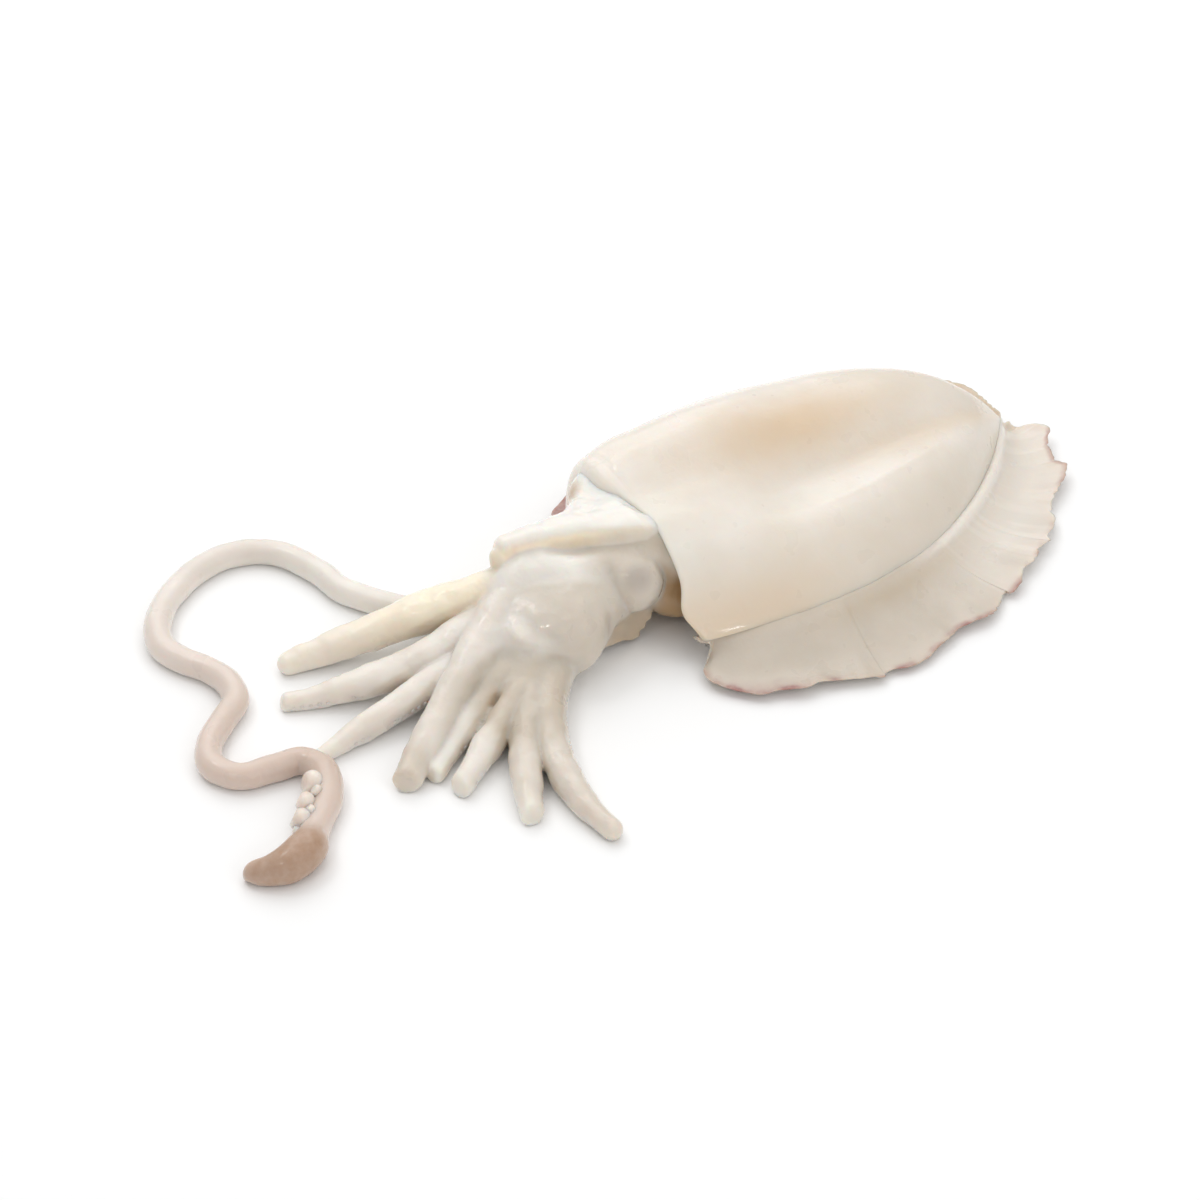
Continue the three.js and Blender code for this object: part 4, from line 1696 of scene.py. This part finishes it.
@dataclass
class Tentacle(FleshPiece):
    """The one long feeding tentacle, lying in bends, with the club at its end."""

    # The middle line in plan and the radius along it, from the head to the club's tip
    course: tuple[Place, ...] = (
        (-24.0, 4.0, 3.6), (-34.0, 12.2, 4.2), (-56.0, 25.5, 4.2), (-73.2, 48.4, 4.2), (-76.5, 62.6, 4.2),
        (-81.6, 76.2, 4.2), (-89.0, 83.6, 4.2), (-98.6, 86.4, 4.2), (-108.6, 85.0, 4.2), (-117.5, 80.9, 4.2),
        (-126.0, 74.5, 4.2), (-132.4, 65.8, 4.4), (-134.9, 56.8, 4.3), (-132.2, 48.4, 4.2),
        (-127.6, 40.2, 4.1), (-125.3, 31.0, 4.2), (-127.5, 22.5, 4.2), (-135.5, 16.4, 4.0),
        (-143.0, 9.3, 4.1), (-146.2, 0.9, 4.2), (-141.2, -7.4, 4.1), (-131.6, -9.7, 4.2),
        (-122.9, -11.4, 4.25), (-119.9, -19.2, 4.6),
        (-123.6, -29.1, 4.5), (-131.0, -37.0, 4.2), (-135.3, -41.4, 4.8), (-139.6, -46.0, 5.9),
        (-145.7, -48.4, 5.8), (-151.1, -47.6, 4.8), (-155.1, -45.2, 3.8), (-158.0, -43.2, 3.0),
    )
    root_height: float = 14.0
    drop_from: float = 13.0
    drop_run: float = 40.0
    # Distances from the tip over which the club browns, pales again at its end, and the stalk turns pink
    club_brown: Band = (-29.0, -19.0)
    club_end: Band = (-14.0, -2.0)
    club_end_brown: float = 0.82
    bend_brown: float = 0.28
    bend_at: Band = (58.0, 14.0)
    blush: Band = (-240.0, -80.0)
    lump_size: float = 7.0
    lump_height: float = 0.7
    step: float = 0.9
    sides: int = 28
    seed: int = 41

    def path(self) -> tuple[Array, Array, Array]:
        """The tentacle's middle line, rounded off at its end.

        Returns:
            The points, the radius at each and the distance of each from the tip.
        """
        fine = smooth_line(self.course, 1500)
        passed = run_along(fine[:, :2])
        total, end = passed[-1], fine[-1, 2]
        even = np.linspace(0.0, total - end, int(total / self.step))
        run = np.append(even, total - end * (1.0 - np.sin(np.linspace(0.0, 0.5 * math.pi, 15)[1:])))
        x, y, radii = (np.interp(run, passed, fine[:, k]) for k in range(3))
        ended = np.clip(1.0 - (total - run) / end, 0.0, 0.9998)
        radii = radii * np.sqrt(1.0 - ended**2)
        z = lerp(self.root_height, radii - SINK, smoothstep(run - self.drop_from, 0.0, self.drop_run))
        return np.stack([x, y, z], axis=-1), radii, total - run

    def build(self) -> bpy.types.Object:
        """Sweeps the tentacle along its path.

        Returns:
            The piece.
        """
        points, radii, from_tip = self.path()
        line = bpy.data.meshes.new("tentacle_line")
        edges = [(i, i + 1) for i in range(len(points) - 1)]
        line.from_pydata(((points + BODY_PLACE) * MM).tolist(), edges, [])
        end = lerp(1.0, self.club_end_brown, smoothstep(-from_tip, *self.club_end))
        brown = smoothstep(-from_tip, *self.club_brown) * end
        brown = np.maximum(brown, self.bend_brown * hill(from_tip, *self.bend_at))
        blush = smoothstep(-from_tip, *self.blush)
        for name, values in (("girth", radii * MM), (Layer.BROWN.value, brown), (Layer.BLUSH.value, blush)):
            line.attributes.new(name, "FLOAT", "POINT").data.foreach_set("value", values.astype(np.float32))
        values = {
            "Sides": self.sides,
            "Lump Size": self.lump_size * MM,
            "Lump Height": self.lump_height * MM,
            "Seed": self.seed,
            "Flesh": TENTACLE_FINISH.material(),
        }
        mesh = grown_mesh("tentacle", line, self._tree(), values)
        return self.place("tentacle", mesh, TENTACLE_FINISH)

    def _tree(self) -> bpy.types.NodeTree:
        """Sweeps a circle along a line with the line's own girth, and makes the skin uneven.

        Returns:
            The Geometry Nodes tree.
        """
        sockets = {
            "Sides": "NodeSocketInt",
            "Lump Size": "NodeSocketFloat",
            "Lump Height": "NodeSocketFloat",
            "Seed": "NodeSocketInt",
            "Flesh": "NodeSocketMaterial",
        }
        bench, start = growing_tree("fleshy_strand", sockets)
        given = start.outputs
        curve = bench.add("GeometryNodeMeshToCurve", {"Mesh": given["Geometry"]}).outputs["Curve"]
        ring = bench.add("GeometryNodeCurvePrimitiveCircle", {"Resolution": given["Sides"], "Radius": 1.0})
        swept = bench.add(
            "GeometryNodeCurveToMesh",
            {
                "Curve": curve,
                "Profile Curve": ring.outputs["Curve"],
                "Scale": bench.named("girth", "FLOAT"),
                "Fill Caps": True,
            },
        )
        fineness = bench.maths("DIVIDE", 1.0, given["Lump Size"])
        inputs = {"Scale": fineness, "Detail": 2.0, "W": given["Seed"]}
        noise = bench.add("ShaderNodeTexNoise", inputs, noise_dimensions="4D")
        centred = bench.maths("SUBTRACT", noise.outputs["Fac"], 0.5)
        height = bench.maths("MULTIPLY", centred, given["Lump Height"])
        normal = bench.add("GeometryNodeInputNormal").outputs[0]
        uneven = bench.moved(swept.outputs["Mesh"], Offset=bench.scaled(normal, height))
        place = bench.add("GeometryNodeInputPosition").outputs[0]
        floor = (-9.0, -9.0, 0.0)
        above = bench.add("ShaderNodeVectorMath", {0: place, 1: floor}, operation="MAXIMUM").outputs[0]
        return bench.close(bench.moved(uneven, Position=above), given["Flesh"])


@dataclass
class Suckers(FleshPiece):
    """The suckers: large pale cups in the club's bend and small beads along the arms' lower edges."""

    crown: Crown
    tentacle: Tentacle
    # The club's lumps, in its bend: place and radius
    club_lumps: tuple[tuple[float, float, float, float], ...] = (
        (-126.0, -23.8, 6.2, 3.6), (-131.2, -29.3, 5.8, 3.5), (-135.6, -34.9, 5.4, 3.3),
        (-138.0, -37.6, 4.4, 2.0), (-141.2, -39.2, 3.4, 1.5), (-127.0, -28.6, 7.6, 1.7),
        (-132.2, -34.2, 7.0, 1.6),
    )
    # The beads along an arm: how far apart, on which of its points, how large, how far out and how sunk
    arm_spacing: float = 2.6
    arm_points: int = 160
    arm_run: tuple[int, int] = (45, 156)
    arm_sizes: Band = (1.0, 0.6)
    arm_out: float = 0.99
    arm_down: float = 0.12
    arm_sunk: float = 0.55
    # The dimple's depth, and the heights on a ball of radius 1 between which it falls in
    dimple: float = 0.25
    dimple_rim: Band = (0.72, 0.98)
    smallest: Place = (0.9, 0.9, 0.85)
    largest: Place = (1.15, 1.15, 1.1)
    sides: int = 18
    rings: int = 12
    seed: int = 51

    def build(self) -> list[bpy.types.Object]:
        """Makes both kinds of sucker.

        Returns:
            One piece for each kind.
        """
        tree = self._tree()
        made = []
        rows = {"club_suckers": self._on_club(), "arm_suckers": self._on_arms()}
        for name, (points, facing, size) in rows.items():
            start = bpy.data.meshes.new(name + "_points")
            start.from_pydata(((points + BODY_PLACE) * MM).tolist(), [], [])
            start.attributes.new("facing", "FLOAT_VECTOR", "POINT").data.foreach_set("vector", facing.ravel())
            start.attributes.new("size", "FLOAT", "POINT").data.foreach_set("value", size * MM)
            flesh = SUCKER_FINISH.material()
            values = {"Sides": self.sides, "Dimple": self.dimple, "Seed": self.seed, "Flesh": flesh}
            made.append(self.place(name, grown_mesh(name, start, tree, values), SUCKER_FINISH))
        return made

    def _on_club(self) -> tuple[Array, Array, Array]:
        """Sets the club's suckers, which face away from its middle line.

        Returns:
            Their places, directions and sizes.
        """
        path, _, _ = self.tentacle.path()
        lumps = np.array(self.club_lumps)
        points = lumps[:, :3]
        nearest = np.argmin(np.linalg.norm(points[:, None, :] - path[None, :, :], axis=2), axis=1)
        return points, points - path[nearest], lumps[:, 3].copy()

    def _on_arms(self) -> tuple[Array, Array, Array]:
        """Sets the arms' suckers, in a row along each lower edge.

        Returns:
            Their places, directions and sizes.
        """
        points, facing, size = [], [], []
        for arm in self.crown.arms[1:]:
            path, radii = arm.path(self.arm_points)
            step = max(1, int(self.arm_spacing / (arm.length / (self.arm_points - 1))))
            for i in range(*self.arm_run, step):
                aside = np.cross(path[i + 1] - path[i - 1], (0.0, 0.0, 1.0))
                aside = aside / np.linalg.norm(aside)
                for side in Side:
                    out = aside * side.value * self.arm_out - np.array((0.0, 0.0, self.arm_down))
                    points.append(path[i] + out * (radii[i] - self.arm_sunk))
                    facing.append(out)
                    size.append(lerp(*self.arm_sizes, i / self.arm_points))
        return np.array(points), np.array(facing), np.array(size)

    def _tree(self) -> bpy.types.NodeTree:
        """Sets a bead with a dimple on every point, facing the way the point says.

        Returns:
            The Geometry Nodes tree.
        """
        sockets = {
            "Sides": "NodeSocketInt",
            "Dimple": "NodeSocketFloat",
            "Seed": "NodeSocketInt",
            "Flesh": "NodeSocketMaterial",
        }
        bench, start = growing_tree("sucker_row", sockets)
        given = start.outputs
        inputs = {"Segments": given["Sides"], "Rings": self.rings, "Radius": 1.0}
        ball = bench.add("GeometryNodeMeshUVSphere", inputs)
        place = bench.add("GeometryNodeInputPosition").outputs[0]
        height = bench.add("ShaderNodeSeparateXYZ", {0: place}).outputs["Z"]
        low, high = self.dimple_rim
        limits = {"Value": height, "From Min": low, "From Max": high}
        pole = bench.add("ShaderNodeMapRange", limits, interpolation_type="SMOOTHSTEP").outputs["Result"]
        down = bench.scaled((0.0, 0.0, -1.0), bench.maths("MULTIPLY", pole, given["Dimple"]))
        inputs = {"Vector": bench.named("facing", "FLOAT_VECTOR")}
        aligned = bench.add("FunctionNodeAlignRotationToVector", inputs, axis="Z")
        inputs = {"Min": self.smallest, "Max": self.largest, "Seed": given["Seed"]}
        spread = bench.add("FunctionNodeRandomValue", inputs, data_type="FLOAT_VECTOR").outputs["Value"]
        set_on = bench.add(
            "GeometryNodeInstanceOnPoints",
            {
                "Points": given["Geometry"],
                "Instance": bench.moved(ball.outputs["Mesh"], Offset=down),
                "Rotation": aligned.outputs["Rotation"],
                "Scale": bench.scaled(spread, bench.named("size", "FLOAT")),
            },
        )
        return bench.close(set_on.outputs["Instances"], given["Flesh"])


# Studio

@dataclass(frozen=True)
class SoftBox:
    """A square soft light that looks at the animal."""

    name: str
    place: Place
    size: float
    power: float

    def build(self) -> None:
        """Hangs the light."""
        lamp = bpy.data.lights.new(self.name, "AREA")
        lamp.shape = "SQUARE"
        lamp.size = self.size
        lamp.energy = self.power
        holder = bpy.data.objects.new(self.name, lamp)
        holder.location = self.place
        holder.rotation_euler = (-Vector(self.place)).to_track_quat("-Z", "Y").to_euler()
        bpy.context.scene.collection.objects.link(holder)


@dataclass
class Studio:
    """A pale floor, soft light and the camera."""

    floor_half: float = 2.5
    sky: float = 0.53
    lights: tuple[SoftBox, ...] = (
        SoftBox("overhead_box", (0.15, 0.35, 1.20), 1.5, 6.4),
        SoftBox("back_box", (0.25, 1.05, 0.80), 1.2, 4.0),
        SoftBox("front_box", (0.25, -1.05, 0.80), 1.4, 4.2),
        SoftBox("streak_box", (-0.35, 0.45, 0.95), 0.22, 0.8),
        SoftBox("left_glint", (-0.70, -0.35, 0.90), 0.08, 0.5),
        SoftBox("right_glint", (0.28, -0.95, 0.72), 0.05, 0.2),
    )
    lens: float = 90.0
    sensor: float = 36.0
    distance: float = 0.95
    azimuth: float = -32.5
    elevation: float = 40.0
    target: Place = (-0.0103, 0.0045, 0.0)

    def build(self) -> None:
        """Sets up everything round the animal."""
        scene = bpy.context.scene
        scene.view_settings.view_transform = "Standard"
        self._floor()
        world = bpy.data.worlds.new("studio_sky")
        world.use_nodes = True
        world.node_tree.nodes["Background"].inputs["Color"].default_value = (1.0, 1.0, 1.0, 1.0)
        world.node_tree.nodes["Background"].inputs["Strength"].default_value = self.sky
        scene.world = world
        for light in self.lights:
            light.build()
        self._camera()

    def _floor(self) -> None:
        """The pale surface that the animal lies on."""
        h = self.floor_half
        mesh = bpy.data.meshes.new("floor")
        mesh.from_pydata([(-h, -h, 0.0), (h, -h, 0.0), (h, h, 0.0), (-h, h, 0.0)], [], [(0, 1, 2, 3)])
        mesh.materials.append(FloorFinish().material())
        floor = bpy.data.objects.new("floor", mesh)
        bpy.context.scene.collection.objects.link(floor)

    def _camera(self) -> None:
        """The camera, looking down on the near side of the animal."""
        lens = bpy.data.cameras.new("camera")
        lens.lens = self.lens
        lens.sensor_width = self.sensor
        lens.clip_start = 0.01
        turn, rise = math.radians(self.azimuth), math.radians(self.elevation)
        away = Vector((math.sin(turn) * math.cos(rise), -math.cos(turn) * math.cos(rise), math.sin(rise)))
        camera = bpy.data.objects.new("camera", lens)
        camera.location = Vector(self.target) + away * self.distance
        camera.rotation_euler = (-away).to_track_quat("-Z", "Y").to_euler()
        bpy.context.scene.collection.objects.link(camera)
        bpy.context.scene.camera = camera


def main() -> None:
    """Builds the studio and the animal, piece by piece."""
    logging.basicConfig(level=logging.INFO, format="%(name)s: %(message)s")
    Studio().build()
    mantle = Mantle()
    mantle.build()
    Fin(side=Side.NEAR, mantle=mantle, outline=NEAR_FIN_OUTLINE, rear_lift=1.2, seed=21).build()
    Fin(side=Side.FAR, mantle=mantle, outline=FAR_FIN_OUTLINE, rear_lift=4.5, seed=25).build()
    crown = Crown()
    crown.build()
    tentacle = Tentacle()
    tentacle.build()
    Suckers(crown=crown, tentacle=tentacle).build()


if __name__ == "__main__":
    main()
